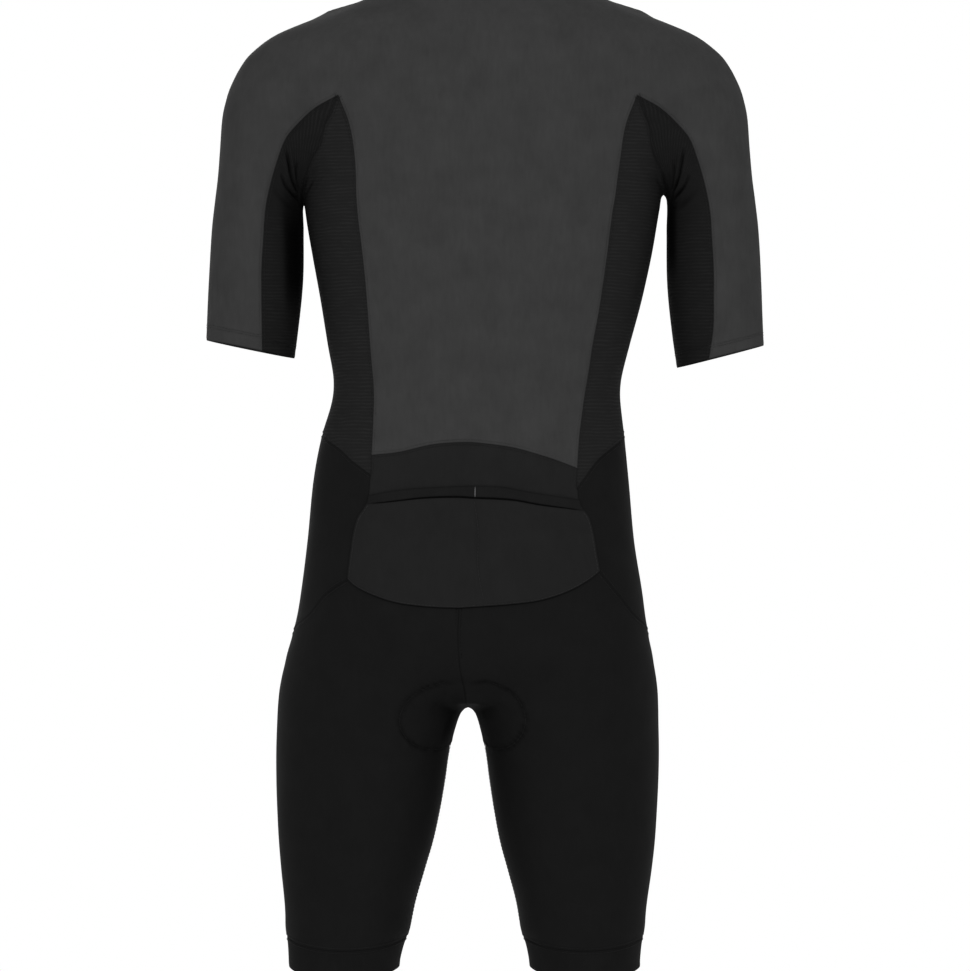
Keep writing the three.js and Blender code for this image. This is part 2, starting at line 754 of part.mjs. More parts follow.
// A closed wall of cloth on one or more nets. lift raises its outer face off the skin, and
// thickness may change from point to point.
function clothWall(nets, { lift = 0, thickness = () => CLOTH } = {}) {
  const points = [];
  const found = new Map();
  const indexOf = (point, u, v) => {
    const key = point.toArray().map((value) => Math.round(value * 100)).join();
    if (!found.has(key)) {
      found.set(key, points.length);
      points.push({ point, normal: outward(point), thickness: thickness(u, v) });
    }
    return found.get(key);
  };
  const faces = [];
  for (const grid of nets) {
    const rows = grid.length - 1;
    const columns = grid[0].length - 1;
    const index = grid.map((row, j) => row.map((p, i) => indexOf(p, i / columns, j / rows)));
    const netFaces = [];
    for (let j = 0; j < rows; j += 1) {
      for (let i = 0; i < columns; i += 1) {
        netFaces.push([index[j][i], index[j + 1][i], index[j + 1][i + 1], index[j][i + 1]]);
      }
    }
    const facing = netFaces.reduce((sum, quad) => {
      const [a, b, c, d] = quad.map((i) => points[i].point);
      const normal = c.clone().sub(a).cross(d.clone().sub(b));
      return sum + normal.dot(points[quad[0]].normal);
    }, 0);
    faces.push(...netFaces.map((quad) => (facing > 0 ? quad : quad.reverse())));
  }

  // Edges used once are the piece's own edges: they are drawn in to leave the gap at a seam.
  const edges = new Map();
  for (const face of faces) {
    face.forEach((from, i) => edges.set(`${from} ${face[(i + 1) % 4]}`, [from, face[(i + 1) % 4]]));
  }
  const rim = [...edges.values()].filter(([from, to]) => !edges.has(`${to} ${from}`));
  const pulls = points.map(() => []);
  for (const [from, to] of rim) {
    const along = points[to].point.clone().sub(points[from].point).normalize();
    for (const i of [from, to]) pulls[i].push(points[i].normal.clone().cross(along).normalize());
  }
  const drawn = points.map(({ point }, i) => {
    if (!pulls[i].length) return point.clone();
    const inward = pulls[i].reduce((sum, way) => sum.add(way), new THREE.Vector3()).normalize();
    const slant = Math.max(inward.dot(pulls[i][0]), 0.4);
    return point.clone().addScaledVector(inward, SEAM_GAP / 2 / slant);
  });

  const count = points.length;
  const positions = [];
  for (const depthOf of [() => 0, (p) => p.thickness]) {
    points.forEach((p, i) => {
      positions.push(...drawn[i].clone().addScaledVector(p.normal, lift - depthOf(p)).toArray());
    });
  }
  const triangles = [];
  for (const [a, b, c, d] of faces) {
    triangles.push(a, b, c, a, c, d);
    triangles.push(count + a, count + c, count + b, count + a, count + d, count + c);
  }
  // A rim's faces are split the same way on both pieces at a seam, so twisted rims fit each other.
  for (const [from, to] of rim) {
    const [a, b] = [from, to].map((i) => points[i].point.dot(SPLIT_WAY));
    if (a < b) triangles.push(from, count + to, to, from, count + from, count + to);
    else triangles.push(from, count + from, to, count + from, count + to, to);
  }
  const geometry = new THREE.BufferGeometry();
  geometry.setAttribute("position", new THREE.Float32BufferAttribute(positions, 3));
  geometry.setIndex(triangles);
  return geometry;
}

// Closed geometry as a solid that can be joined and cut, and back again
function solidOf(geometry) {
  const bare = geometry.clone().deleteAttribute("normal").deleteAttribute("uv");
  const merged = mergeVertices(bare, 1e-4);
  const mesh = new wasm.Mesh({
    numProp: 3,
    vertProperties: new Float32Array(merged.attributes.position.array),
    triVerts: new Uint32Array(merged.index.array),
  });
  return new wasm.Manifold(mesh);
}

function geometryOf(solid) {
  const { vertProperties, triVerts } = solid.getMesh();
  const geometry = new THREE.BufferGeometry();
  geometry.setAttribute("position", new THREE.BufferAttribute(vertProperties, 3));
  geometry.setIndex(new THREE.BufferAttribute(triVerts, 1));
  return geometry;
}

// Finishes
const finish = (colour, roughness, metalness = 0) =>
  new THREE.MeshStandardMaterial({ color: colour, roughness, metalness });
const GREY_KNIT = finish(0x383838, 0.8);
const BLACK_MESH = finish(0x1c1c1c, 0.85);
const BLACK_POCKET = finish(0x212121, 0.75);
const BLACK_SHORTS = finish(0x181818, 0.7);
const BLACK_GRIPPER = finish(0x161616, 0.8);
const PAD_FOAM = finish(0x2a2a2c, 0.9);
const ZIP_COIL = finish(0x141414, 0.5);
const ZIP_METAL = finish(0x2b2b2b, 0.4, 0.6);

const suit = new THREE.Group();
function sew(name, material, geometry) {
  const mesh = new THREE.Mesh(geometry, material);
  mesh.name = name;
  suit.add(mesh);
  return mesh;
}

// The back with both sleeves, in one piece from the waist over the shoulders to the front seam
const backNet = net({ top: YOKE_LINE, bottom: GREY_HEM, left: LEFT.backEdge, right: RIGHT.backEdge });
const yokeSeams = {
  top: YOKE_LINE,
  bottom: joined(LEFT.raglan, NECK_BACK, reversed(RIGHT.raglan)),
  left: LEFT.shoulder,
  right: RIGHT.shoulder,
};
const yokeNet = net(yokeSeams, SEAM_PULL);
const sleeveNet = ({ shoulder, hemOver, sleeveBack, sleeveFront }) =>
  net({ top: shoulder, bottom: hemOver, left: sleeveBack, right: sleeveFront });
sew(
  "back_and_sleeves",
  GREY_KNIT,
  clothWall([backNet, yokeNet, sleeveNet(LEFT), sleeveNet(RIGHT)]),
);

for (const [side, s] of Object.entries(BOTH)) {
  sew(
    `front_${side}`,
    GREY_KNIT,
    clothWall([
      net({
        top: joined(s.raglan, s.neckFront),
        bottom: reversed(s.waist),
        left: s.frontEdge,
        right: s.zipEdge,
      }),
    ]),
  );
  sew(
    `undersleeve_${side}`,
    BLACK_MESH,
    clothWall([
      tubeNet(
        { top: s.armhole, bottom: s.hemUnder, left: s.sleeveBack, right: s.sleeveFront },
        s.armCentre,
        s.inward,
      ),
    ]),
  );
  sew(
    `side_${side}`,
    BLACK_MESH,
    clothWall([
      tubeNet(
        {
          top: s.armhole,
          bottom: s.sideBottom,
          left: joined(s.backEdge, s.backEdgeLow),
          right: s.frontEdge,
        },
        s.trunkCentre,
        s.outwards,
      ),
    ]),
  );
  const waistToCentre = joined(s.sideBottom, reversed(s.waist), [s.waist[0], s.centreFront[0]]);
  sew(
    `hip_${side}`,
    BLACK_SHORTS,
    clothWall([
      tubeNet(
        {
          top: waistToCentre,
          bottom: s.hipBottom,
          left: joined(s.pocketTop, s.pocketBand, s.pocketSide),
          right: s.centreFront,
        },
        s.trunkCentre,
        s.outwards,
      ),
    ]),
  );
  const thighRing = s.legRing(GRIPPER_TOP);
  s.legNet = tubeNet(
    {
      top: joined(reversed(s.pocketBottom), s.hipBottom),
      bottom: thighRing,
      left: joined(s.seat, s.inseam),
      right: joined(s.fly, s.inseam),
    },
    s.legCentre,
    s.outwards,
  );
  sew(
    `leg_${side}`,
    BLACK_SHORTS,
    clothWall([s.legNet]),
  );
  const hemRing = s.legRing(LEG_HEM);
  const between = thighRing.map((point, i) => settle(point.clone().lerp(hemRing[i], 0.5)));
  sew(`gripper_${side}`, BLACK_GRIPPER, clothWall([[thighRing, between, hemRing]]));
}

// The lower back runs on behind the pocket, which lies on it and is caught in the seams round it.
const lowerEdge = ({ backEdgeLow, pocketTop, pocketBand, pocketSide }) =>
  joined(backEdgeLow, pocketTop, pocketBand, pocketSide);
const lowerBack = net({
  top: GREY_HEM,
  bottom: POCKET_HEM,
  left: lowerEdge(LEFT),
  right: lowerEdge(RIGHT),
});
sew("lower_back", BLACK_POCKET, clothWall([lowerBack]));
const onTop = { lift: CLOTH + LAYER_GAP };
const pocketNet = net({
  top: MOUTH_LINE,
  bottom: POCKET_HEM,
  left: LEFT.pocketSide,
  right: RIGHT.pocketSide,
});
sew("pocket", BLACK_POCKET, clothWall([pocketNet], onTop));
const bandNet = net({
  top: BAND_LINE,
  bottom: MOUTH_LINE,
  left: LEFT.pocketBand,
  right: RIGHT.pocketBand,
});
sew("pocket_band", BLACK_GRIPPER, clothWall([bandNet], onTop));

// Neckband, from one side of the zip round the back to the other
const neckTurns = (height) => {
  const front = (from, to) => neckArc(height, from, to, ACROSS_NECK_FRONT);
  return joined(
    front(-ZIP_AT_NECK, RAGLAN_TOP),
    neckArc(height, RAGLAN_TOP, 180 - RAGLAN_TOP, ACROSS_NECK_BACK),
    front(180 - RAGLAN_TOP, 180 + ZIP_AT_NECK),
  );
};
const COLLAR_TOP = neckTurns(COLLAR_HEIGHT);
sew("neck_band", GREY_KNIT, clothWall([[COLLAR_TOP, neckTurns(COLLAR_HEIGHT / 2), NECK_SEAM]]));

// Zip
const zipRow = (left, right) => [left, settle(left.clone().lerp(right, 0.5)), right];
const collarMiddle = neckTurns(COLLAR_HEIGHT / 2);
const zipLeft = [COLLAR_TOP[0], collarMiddle[0], ...LEFT.zipEdge];
const zipRight = [last(COLLAR_TOP), last(collarMiddle), ...RIGHT.zipEdge];
sew("zip_tape", ZIP_COIL, clothWall([zipLeft.map((point, j) => zipRow(point, zipRight[j]))]));

// The slider and its pull tab are made flat: x across the zip, y up along it, z out of it.
const zipTop = zipRow(COLLAR_TOP[0], last(COLLAR_TOP))[1];
const zipUp = zipTop.clone().sub(neckRing(0, -90)).normalize();
const zipOut = new THREE.Vector3().crossVectors(AXES[0], zipUp).normalize();
const sliderPlace = new THREE.Matrix4()
  .makeBasis(AXES[0], zipUp, zipOut)
  .setPosition(settle(zipTop.clone().addScaledVector(zipUp, -SLIDER_FROM_TOP)));

const SLIDER = { half: 4.2, length: 12, lift: LAYER_GAP, thickness: 2.4 };
const BAIL = { half: 1, length: 7.5, height: 4, rod: 1.2 };
const TAB = { bar: 1.4, axisOut: 4.2, window: 5.2, inner: 1.6, half: 3.2, length: 27 };

// A plate with an outline in x and y, and with holes, raised from its own z = 0
function plate(outline, holes, thickness) {
  const shape = new THREE.Shape(outline);
  shape.holes = holes.map((hole) => new THREE.Path(hole));
  return new THREE.ExtrudeGeometry(shape, { depth: thickness, bevelEnabled: false });
}
const corner = (x, y) => new THREE.Vector2(x, y);
const rectangle = (left, bottom, right, top) => [
  corner(left, bottom), corner(right, bottom), corner(right, top), corner(left, top),
];

const { half: sh, length: sl } = SLIDER;
const sliderBody = plate(
  [
    corner(-sh * 0.5, -sl / 2), corner(sh * 0.5, -sl / 2), corner(sh * 0.75, -sl * 0.1),
    corner(sh, sl * 0.25), corner(sh * 0.8, sl / 2), corner(-sh * 0.8, sl / 2),
    corner(-sh, sl * 0.25), corner(-sh * 0.75, -sl * 0.1),
  ],
  [],
  SLIDER.thickness,
).translate(0, 0, SLIDER.lift);
// The bail is an arch over the body, drawn in y and z and then turned across.
const bail = plate(
  [
    corner(-BAIL.length / 2, -0.5), corner(-BAIL.length / 2 + BAIL.rod, -0.5),
    corner(-BAIL.length / 2 + BAIL.rod, BAIL.height - BAIL.rod),
    corner(BAIL.length / 2 - BAIL.rod, BAIL.height - BAIL.rod),
    corner(BAIL.length / 2 - BAIL.rod, -0.5), corner(BAIL.length / 2, -0.5),
    corner(BAIL.length / 2, BAIL.height - 0.8), corner(BAIL.length / 2 - 0.8, BAIL.height),
    corner(-BAIL.length / 2 + 0.8, BAIL.height), corner(-BAIL.length / 2, BAIL.height - 0.8),
  ],
  [],
  2 * BAIL.half,
)
  .translate(0, 0, -BAIL.half)
  .rotateY(Math.PI / 2)
  .rotateX(Math.PI / 2)
  .translate(0, 0, SLIDER.lift + SLIDER.thickness);

const slider = geometryOf(solidOf(sliderBody).add(solidOf(bail)));
sew("zip_slider", ZIP_METAL, slider.applyMatrix4(sliderPlace));

// The tab hangs from its bar under the bail. Its bar is its axis, at the middle of its own frame.
const tab = plate(
  [
    corner(-TAB.half, -TAB.length + 2), corner(-TAB.half + 2, -TAB.length),
    corner(TAB.half - 2, -TAB.length), corner(TAB.half, -TAB.length + 2),
    corner(TAB.half, TAB.bar / 2), corner(-TAB.half, TAB.bar / 2),
  ],
  [rectangle(-TAB.inner, -TAB.window - TAB.bar / 2, TAB.inner, -TAB.bar / 2)],
  TAB.bar,
).translate(0, 0, -TAB.bar / 2);
// It rests on the chest: its tilt is the least that keeps it clear of the cloth.
const TAB_CLEARANCE = 0.6;
const tabPoint = (reach, tilt) =>
  new THREE.Vector3(0, -reach * Math.cos(tilt), TAB.axisOut + reach * Math.sin(tilt));
const tabTilt = Math.max(
  ...[8, 14, 20, TAB.length].map((reach) =>
    crossing(
      (tilt) =>
        skinDistance(tabPoint(reach, tilt).applyMatrix4(sliderPlace)) -
        TAB.bar / 2 - TAB_CLEARANCE,
      -0.2,
      1.2,
    ),
  ),
);
const tabPlace = sliderPlace
  .clone()
  .multiply(new THREE.Matrix4().makeTranslation(0, 0, TAB.axisOut))
  .multiply(new THREE.Matrix4().makeRotationX(-tabTilt));
sew("zip_pull", ZIP_METAL, tab.applyMatrix4(tabPlace));

// Seat pad, inside the cloth, thickest along its middle. It is cut to the inner face of the legs.
const padNet = ({ padMiddle, padRim, padBack, padFront }) =>
  net({ top: padBack, bottom: padFront, left: padMiddle, right: padRim });
const padThickness = (u) =>
  PAD_THICKNESS.rim + (PAD_THICKNESS.middle - PAD_THICKNESS.rim) * (1 - u ** 3);
const uncutPad = clothWall([padNet(LEFT), padNet(RIGHT)], {
  lift: -CLOTH,
  thickness: padThickness,
});
const legSpace = clothWall([LEFT.legNet, RIGHT.legNet], {
  lift: LEG_SPACE,
  thickness: () => LEG_SPACE + CLOTH + PAD_GAP,
});
const crumbsLast = solidOf(uncutPad)
  .subtract(solidOf(legSpace))
  .decompose()
  .sort((a, b) => b.volume() - a.volume());
sew("pad", PAD_FOAM, geometryOf(crumbsLast[0]));

export default suit;
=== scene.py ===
# %% [markdown]
# # A triathlon suit, sewn in code
#
# The suit is photographed from behind, filled out as if someone wore it. The packed model gives
# its cut and its walls. This lesson sews the same pieces again as fine cloth: each is a smooth
# sheet on one shared skin, with creases, rolled seam edges, threads and knitted finishes.

# %% Load the fixed frame
from types import SimpleNamespace

import bpy
import numpy as np
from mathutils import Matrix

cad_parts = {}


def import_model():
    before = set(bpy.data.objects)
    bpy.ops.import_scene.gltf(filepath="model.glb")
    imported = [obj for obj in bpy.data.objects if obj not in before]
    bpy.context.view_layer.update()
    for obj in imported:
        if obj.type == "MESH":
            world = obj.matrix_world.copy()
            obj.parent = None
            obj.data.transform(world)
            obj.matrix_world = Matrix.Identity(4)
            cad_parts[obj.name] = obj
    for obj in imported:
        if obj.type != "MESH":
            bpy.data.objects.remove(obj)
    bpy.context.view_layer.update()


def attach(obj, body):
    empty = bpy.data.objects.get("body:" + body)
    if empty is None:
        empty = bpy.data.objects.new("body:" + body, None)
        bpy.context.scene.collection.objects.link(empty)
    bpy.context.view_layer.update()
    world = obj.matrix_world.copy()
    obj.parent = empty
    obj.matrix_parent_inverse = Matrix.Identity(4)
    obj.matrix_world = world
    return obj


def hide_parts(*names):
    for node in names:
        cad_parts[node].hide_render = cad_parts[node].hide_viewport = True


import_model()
SUIT, PULL = "suit", "pull"
MM = 0.001

# %% [markdown]
# The photograph looks straight at the suit's back from about five metres, so a long lens stands
# there too. A picture made with a long lens hardly narrows towards its far parts, which is what
# the photograph shows. The picture is 970 by 971, and 0.95 mm of the suit fall on one dot of it.

# %% Camera
DOT = 0.95 * MM
DOTS_WIDE, SENSOR = 970, 36
EYE = (0.0, 5.0, -0.442)


def linked(name, data):
    """A new object of the scene that shows the data."""
    thing = bpy.data.objects.new(name, data)
    bpy.context.scene.collection.objects.link(thing)
    return thing


camera_data = bpy.data.cameras.new("camera")
camera_data.sensor_fit, camera_data.sensor_width = "HORIZONTAL", SENSOR
camera_data.lens = SENSOR * EYE[1] / (DOTS_WIDE * DOT)
camera = linked("camera", camera_data)
camera.location, camera.rotation_euler = EYE, (np.pi / 2, 0, np.pi)
bpy.context.scene.camera = camera
print("lens", round(camera_data.lens, 1), "mm")

# %% [markdown]
# A studio shot on white is lit from everywhere, with a little more from the camera's side, so
# that dark cloth keeps a soft roundness. A bright world gives the even part. Wide area lamps
# beside the camera give the rest, because a small lamp would draw hard shadows in the folds.
# The standard view transform keeps white white, and a gamma under one deepens the darks, as a
# catalogue picture is printed.

# %% Studio
bpy.context.scene.view_settings.view_transform = "Standard"
bpy.context.scene.view_settings.gamma = 0.8
world = bpy.data.worlds.new("studio")
world.use_nodes = True
background = world.node_tree.nodes["Background"].inputs
background["Color"].default_value, background["Strength"].default_value = (1, 1, 1, 1), 1.0
bpy.context.scene.world = world


def lamp(name, place, aim, size, power):
    """A square area lamp of size metres and power watts at place, facing aim."""
    data = bpy.data.lights.new(name, "AREA")
    data.size, data.energy = size, power
    away = np.subtract(place, aim)
    turn = np.arctan2(away[0], -away[1])
    tilt = np.arctan2(np.hypot(away[0], away[1]), away[2])
    thing = linked(name, data)
    thing.location, thing.rotation_euler = place, (tilt, 0, turn)


MIDDLE = (0, 0, -0.42)
lamp("key", (1.1, 3.4, 0.6), MIDDLE, 1.8, 36)
lamp("fill", (-1.3, 3.4, 0.2), MIDDLE, 2.2, 30)
lamp("front_soft", (0.6, -3.6, 0.8), MIDDLE, 2.6, 40)
print("lamps: 3")

# %% [markdown]
# ## One skin for every piece
#
# Every sewn piece lies on the same hollow form: a trunk, a neck, two arms and two legs, each a
# pile of level ovals, melted together where they meet. The numbers are those of the model's own
# tables. A distance to this form is all that is needed: a point is moved along its slope until
# the distance is nought. That is easier than modelling a body and shrink-wrapping cloth on it.

# %% Tables of level sections
class Table:
    """Sections listed from the top down, read at any height.

    Between two rows a value follows the cubic that meets both rows with the slope of the chord
    between each row's neighbours. It is worked out every half millimetre and read from there."""

    def __init__(self, names, rows):
        rows = np.array(rows[::-1], float)
        heights, values = rows[:, 0], rows[:, 1:]
        top = len(rows) - 1
        below = np.maximum(np.arange(top + 1) - 1, 0)
        above = np.minimum(np.arange(top + 1) + 1, top)
        slopes = (values[above] - values[below]) / (heights[above] - heights[below])[:, None]
        self.heights = np.append(np.arange(heights[0], heights[-1], 0.5), heights[-1])
        i = np.clip(np.searchsorted(heights, self.heights, side="right") - 1, 0, top - 1)
        span = (heights[i + 1] - heights[i])[:, None]
        t = (self.heights - heights[i])[:, None] / span
        rise = values[i + 1] - values[i]
        bend = (1 - t) * (slopes[i] * span - rise) + t * (rise - slopes[i + 1] * span)
        self.columns = dict(zip(names, (values[i] + t * rise + t * (1 - t) * bend).T))

    def __call__(self, name, height):
        return np.interp(height, self.heights, self.columns[name])


MIDLINE = Table(["shift"], [
    [-140, 0], [-180, 2.5], [-225, 2.7], [-266, 3.7], [-309, 6], [-337, 7], [-366, 8.6],
    [-395, 11.2], [-437, 13.2], [-494, 13.6], [-551, 12.7], [-608, 14.7], [-665, 16.2],
    [-722, 16.7], [-807, 17.7], [-893, 19.4],
])
TRUNK = Table(["half", "back", "front"], [
    [48, 58, 50, 58], [32, 88, 66, 66], [19, 114, 77, 73], [8, 139, 84, 79], [-4, 171, 90, 85],
    [-15, 197, 94, 89], [-26, 209, 97, 92], [-38, 217, 99, 95], [-55, 217, 101, 99],
    [-75, 215, 103, 104], [-98, 194, 104, 109], [-125, 178, 104, 113], [-150, 171, 103, 115],
    [-171, 169, 102, 115], [-181, 168, 100, 115], [-223, 161, 96, 112], [-266, 152.5, 90, 108],
    [-309, 143, 83, 103], [-337, 137, 80, 100], [-352, 136, 79, 98], [-366, 137.5, 79, 97],
    [-395, 143.5, 80, 96], [-437, 149.5, 87, 96], [-494, 155, 98, 95], [-551, 163, 106, 92],
    [-585, 167, 107, 88], [-612, 164, 101, 80], [-632, 140, 84, 66], [-646, 105, 58, 46],
    [-654, 60, 30, 24],
])
ARM = Table(["inner", "outer", "back", "front"], [
    [0, 140, 146, 8, 8], [-12, 134, 170, 22, 22], [-22, 130, 196, 31, 31],
    [-32, 128, 213, 39, 39], [-42, 127, 225, 45, 44], [-52, 126, 234, 50, 49],
    [-66, 128, 242, 55, 54], [-81, 133, 247, 58, 57],
    [-95, 140, 249.5, 59, 58], [-123, 154, 251.5, 58, 57],
    [-150, 166, 253.7, 56, 55], [-171, 172.5, 256.3, 54, 54], [-200, 172.5, 259.5, 53, 53],
    [-250, 173, 262.3, 51, 51], [-300, 178, 264.2, 49, 49], [-340, 184, 266, 47, 47],
])
LEG = Table(["inner", "outer", "back", "front"], [
    [-560, -40, 150, 84, 74], [-585, -30, 164, 92, 80], [-608, -20, 174, 95, 83],
    [-632, -6, 179, 94, 85], [-650, 4, 180.5, 92, 86], [-665, 10.5, 181, 90, 86],
    [-693, 17.5, 181.7, 87, 85], [-722, 21.5, 181.4, 84, 83], [-750, 26, 180.3, 80, 80],
    [-779, 32, 178.6, 76, 76], [-807, 40, 175.8, 72, 71], [-836, 48, 172.2, 67, 66],
    [-864, 53.5, 169.7, 64, 62], [-879, 58, 168, 62, 60], [-893, 61, 167, 61, 59],
    [-910, 63, 166, 60, 58],
])
ARMPIT_ROUNDING = Table(["width"], [
    [-60, 34], [-100, 34], [-135, 22], [-160, 11], [-176, 4], [-195, 1],
])
CROTCH_ROUNDING = Table(["width"], [
    [-600, 60], [-635, 36], [-645, 20], [-655, 12], [-672, 9], [-700, 2],
])
NECK_ROUNDING, HIP_ROUNDING = 36, 14
TRUNK_TOP, TRUNK_BOTTOM, ARM_TOP, ARM_BOTTOM, LEG_TOP = 48, -646, 0, -345, -560
TRUNK_ROUNDNESS, LIMB_ROUNDNESS = 2.4, 2.1
NECK = SimpleNamespace(
    base=np.array([0.0, -8, 34]), lean=np.radians(20), half_width=62, half_depth=60, buried=45,
    side_rise=22,
)
print("chest half width", TRUNK("half", -171.0), "mm")

# %% The skin as a distance
def oval(across, along, half, depth, roundness):
    """Distance from a level oval along the line from its centre: reach - reach / ratio, where
    ratio is how many times further out the point lies than the oval does on that line."""
    reach = np.hypot(across, along)
    powers = np.abs(across / half) ** roundness + np.abs(along / depth) ** roundness
    ratio = np.maximum(powers ** (1 / roundness), 1e-9)
    return np.where(reach < 1e-6, -np.minimum(half, depth), reach - reach / ratio)


def blend(a, b, width):
    """The smaller of two distances, rounded where they differ by less than width: the square of
    the overlap, times a quarter of the width, is taken off."""
    overlap = np.maximum(width - np.abs(a - b), 0) / width
    return np.minimum(a, b) - overlap * overlap * width / 4


def limb(sections, out, y, z):
    """Distance from an arm or leg, whose oval runs from inner to outer at each height."""
    inner, outer = sections("inner", z), sections("outer", z)
    depth = np.where(y > 0, sections("back", z), sections("front", z))
    return oval(out - (inner + outer) / 2, y, (outer - inner) / 2, depth, LIMB_ROUNDNESS)


def trunk(x, y, z):
    """Distance from the trunk's ovals, closed by a level plane above and below."""
    depth = np.where(y > 0, TRUNK("back", z), TRUNK("front", z))
    level = oval(x - MIDLINE("shift", z), y, TRUNK("half", z), depth, TRUNK_ROUNDNESS)
    return np.maximum(level, np.maximum(z - TRUNK_TOP, TRUNK_BOTTOM - z))


def arm(x, y, z):
    """Distance from either arm, mirrored on the middle plane."""
    return np.maximum(limb(ARM, np.abs(x), y, z), np.maximum(z - ARM_TOP, ARM_BOTTOM - z))


def neck(x, y, z):
    """Distance from a round tube that leans forwards by NECK.lean."""
    dy, dz = y - NECK.base[1], z - NECK.base[2]
    back = dy * np.cos(NECK.lean) + dz * np.sin(NECK.lean)
    up = dz * np.cos(NECK.lean) - dy * np.sin(NECK.lean)
    return np.maximum(oval(x, back, NECK.half_width, NECK.half_depth, 2), -NECK.buried - up)


def skin(p):
    """Distance of points outside the whole form: its parts blended one after another."""
    x, y, z = np.moveaxis(p, -1, 0)
    shifted = x - MIDLINE("shift", z)
    body = blend(trunk(x, y, z), neck(x, y, z), NECK_ROUNDING)
    legs = blend(
        limb(LEG, shifted, y, z), limb(LEG, -shifted, y, z), CROTCH_ROUNDING("width", z)
    )
    upper = blend(body, arm(x, y, z), ARMPIT_ROUNDING("width", z))
    return blend(upper, np.maximum(legs, z - LEG_TOP), HIP_ROUNDING)


PROBE = 0.4
FARTHEST_MOVE = 25


def slope(p):
    """How the distance grows along x, y and z: its change over a short step each way."""
    steps = PROBE * np.eye(3)
    return np.stack([skin(p + step) - skin(p - step) for step in steps], -1) / (2 * PROBE)


def unit(ways):
    """The same directions with length one."""
    return ways / np.maximum(np.linalg.norm(ways, axis=-1, keepdims=True), 1e-12)


def settle(p, rounds=10):
    """Moves points to the skin: each round goes back along the slope by distance over slope."""
    for _ in range(rounds):
        way = slope(p)
        steep = np.linalg.norm(way, axis=-1, keepdims=True)
        move = np.clip(skin(p)[..., None] / steep, -FARTHEST_MOVE, FARTHEST_MOVE)
        p = p - move * way / steep
    return p


def crossing(value, low, high, rounds=30):
    """Where a value turns from negative to positive, by halving the stretch again and again."""
    low, high = np.broadcast_arrays(np.asarray(low, float), np.asarray(high, float))
    for _ in range(rounds):
        middle = (low + high) / 2
        short = value(middle) < 0
        low, high = np.where(short, middle, low), np.where(short, high, middle)
    return high


STRIDE = 4


def leaves(start, way):
    """Where lines that start inside the skin first leave it: steps of 4 mm, then halving."""
    start, way = np.broadcast_arrays(np.asarray(start, float), np.asarray(way, float))
    shape = start.shape
    start, way = start.reshape(-1, 3), way.reshape(-1, 3)
    far = np.zeros(len(start))
    inside = np.arange(len(start))
    while inside.size:
        inside = inside[skin(start[inside] + far[inside, None] * way[inside]) < 0]
        far[inside] += STRIDE
    reach = crossing(
        lambda at: skin(start + at[:, None] * way), np.maximum(far - STRIDE, 0), far, rounds=16
    )
    return (start + reach[:, None] * way).reshape(shape)


print("neck front on the skin:", leaves([0, 0, 20], [0, -1, 0]).round(1))

# %% [markdown]
# ## Seams
#
# A seam is drawn through a few guide points and laid on the skin. The two pieces that it joins
# read the same line, so they meet all along it. The guides were measured on the photograph for
# the back, and placed by how such suits are cut for the sides and the front, which it doesn't
# show.

# %% Drawing a seam
FINE_ACROSS, FINE_DOWN = 5, 7  # cells here for one of the model's own, across and down
ACROSS_RAGLAN, ACROSS_NECK_BACK, ACROSS_NECK_FRONT = (n * FINE_ACROSS for n in (3, 10, 5))
ACROSS_BACK = 2 * ACROSS_RAGLAN + ACROSS_NECK_BACK
ACROSS_SIDE = 12 * FINE_ACROSS
OVER_SHOULDER, DOWN_SLEEVE, DOWN_BODY = (n * FINE_DOWN for n in (9, 10, 12))
DOWN_STRIP, DOWN_POCKET, DOWN_HIP, DOWN_THIGH = (n * FINE_DOWN for n in (1, 4, 6, 8))
FINE_SEAT = 6  # the same down the seat
DOWN_SEAT = 6 * FINE_SEAT
CLOTH, LAYER_GAP = 1.5, 0.4  # a layer's wall, and the gap between two that lie on each other
COLLAR_HEIGHT, GRIPPER_TOP, LEG_HEM, RING_SAG = 18, -870, -898, 9
ZIP_HALF_WIDTH, SEAM_SKEW, SLIDER_FROM_TOP = 4.5, -2.5, 9
VIEWER = np.array([0.0, 5000, -442])
LEFTWARD, BACKWARD, UPWARD = np.eye(3)


def points_of(x, y, z):
    """Points from places that may be numbers or arrays."""
    return np.stack(np.broadcast_arrays(*(np.asarray(v, float) for v in (x, y, z))), -1)


def seen_behind(x, height):
    """Points of the skin as the camera sees them, from their place in the middle plane."""
    middle = points_of(x, 0, height)
    return leaves(middle, unit(VIEWER - middle))


def seen_before(x, height):
    """Points of the skin straight from the front, from their place in the middle plane."""
    return leaves(points_of(x, 0, height), -BACKWARD)


def behind(out, height):
    """Points seen from behind, measured out from the centre line."""
    return seen_behind(MIDLINE("shift", height) + np.asarray(out, float), height)


def before(out, height):
    """Points seen from the front, measured out from the centre line."""
    return seen_before(MIDLINE("shift", height) + np.asarray(out, float), height)


def armpit(side, back):
    """The top of the fold between the trunk and an arm, where both are equally far. It is looked
    for in a window of heights and of places out from the middle."""
    back = np.asarray(back, float)
    highest, deepest, innermost, outermost = -100, 100, 90, 230

    def at(drop):
        height = highest - drop
        out = crossing(
            lambda x: trunk(side * x, back, height) - arm(side * x, back, height),
            np.full_like(back, innermost), outermost,
        )
        return points_of(side * out, back, height)

    return at(crossing(lambda drop: skin(at(drop)), np.zeros_like(back), deepest))


def around(centre, zero_way, quarter_way, degrees):
    """Points of the skin in the plane of two directions, at angles round a centre."""
    angle = np.radians(np.asarray(degrees, float))[..., None]
    return leaves(centre, np.cos(angle) * zero_way + np.sin(angle) * quarter_way)


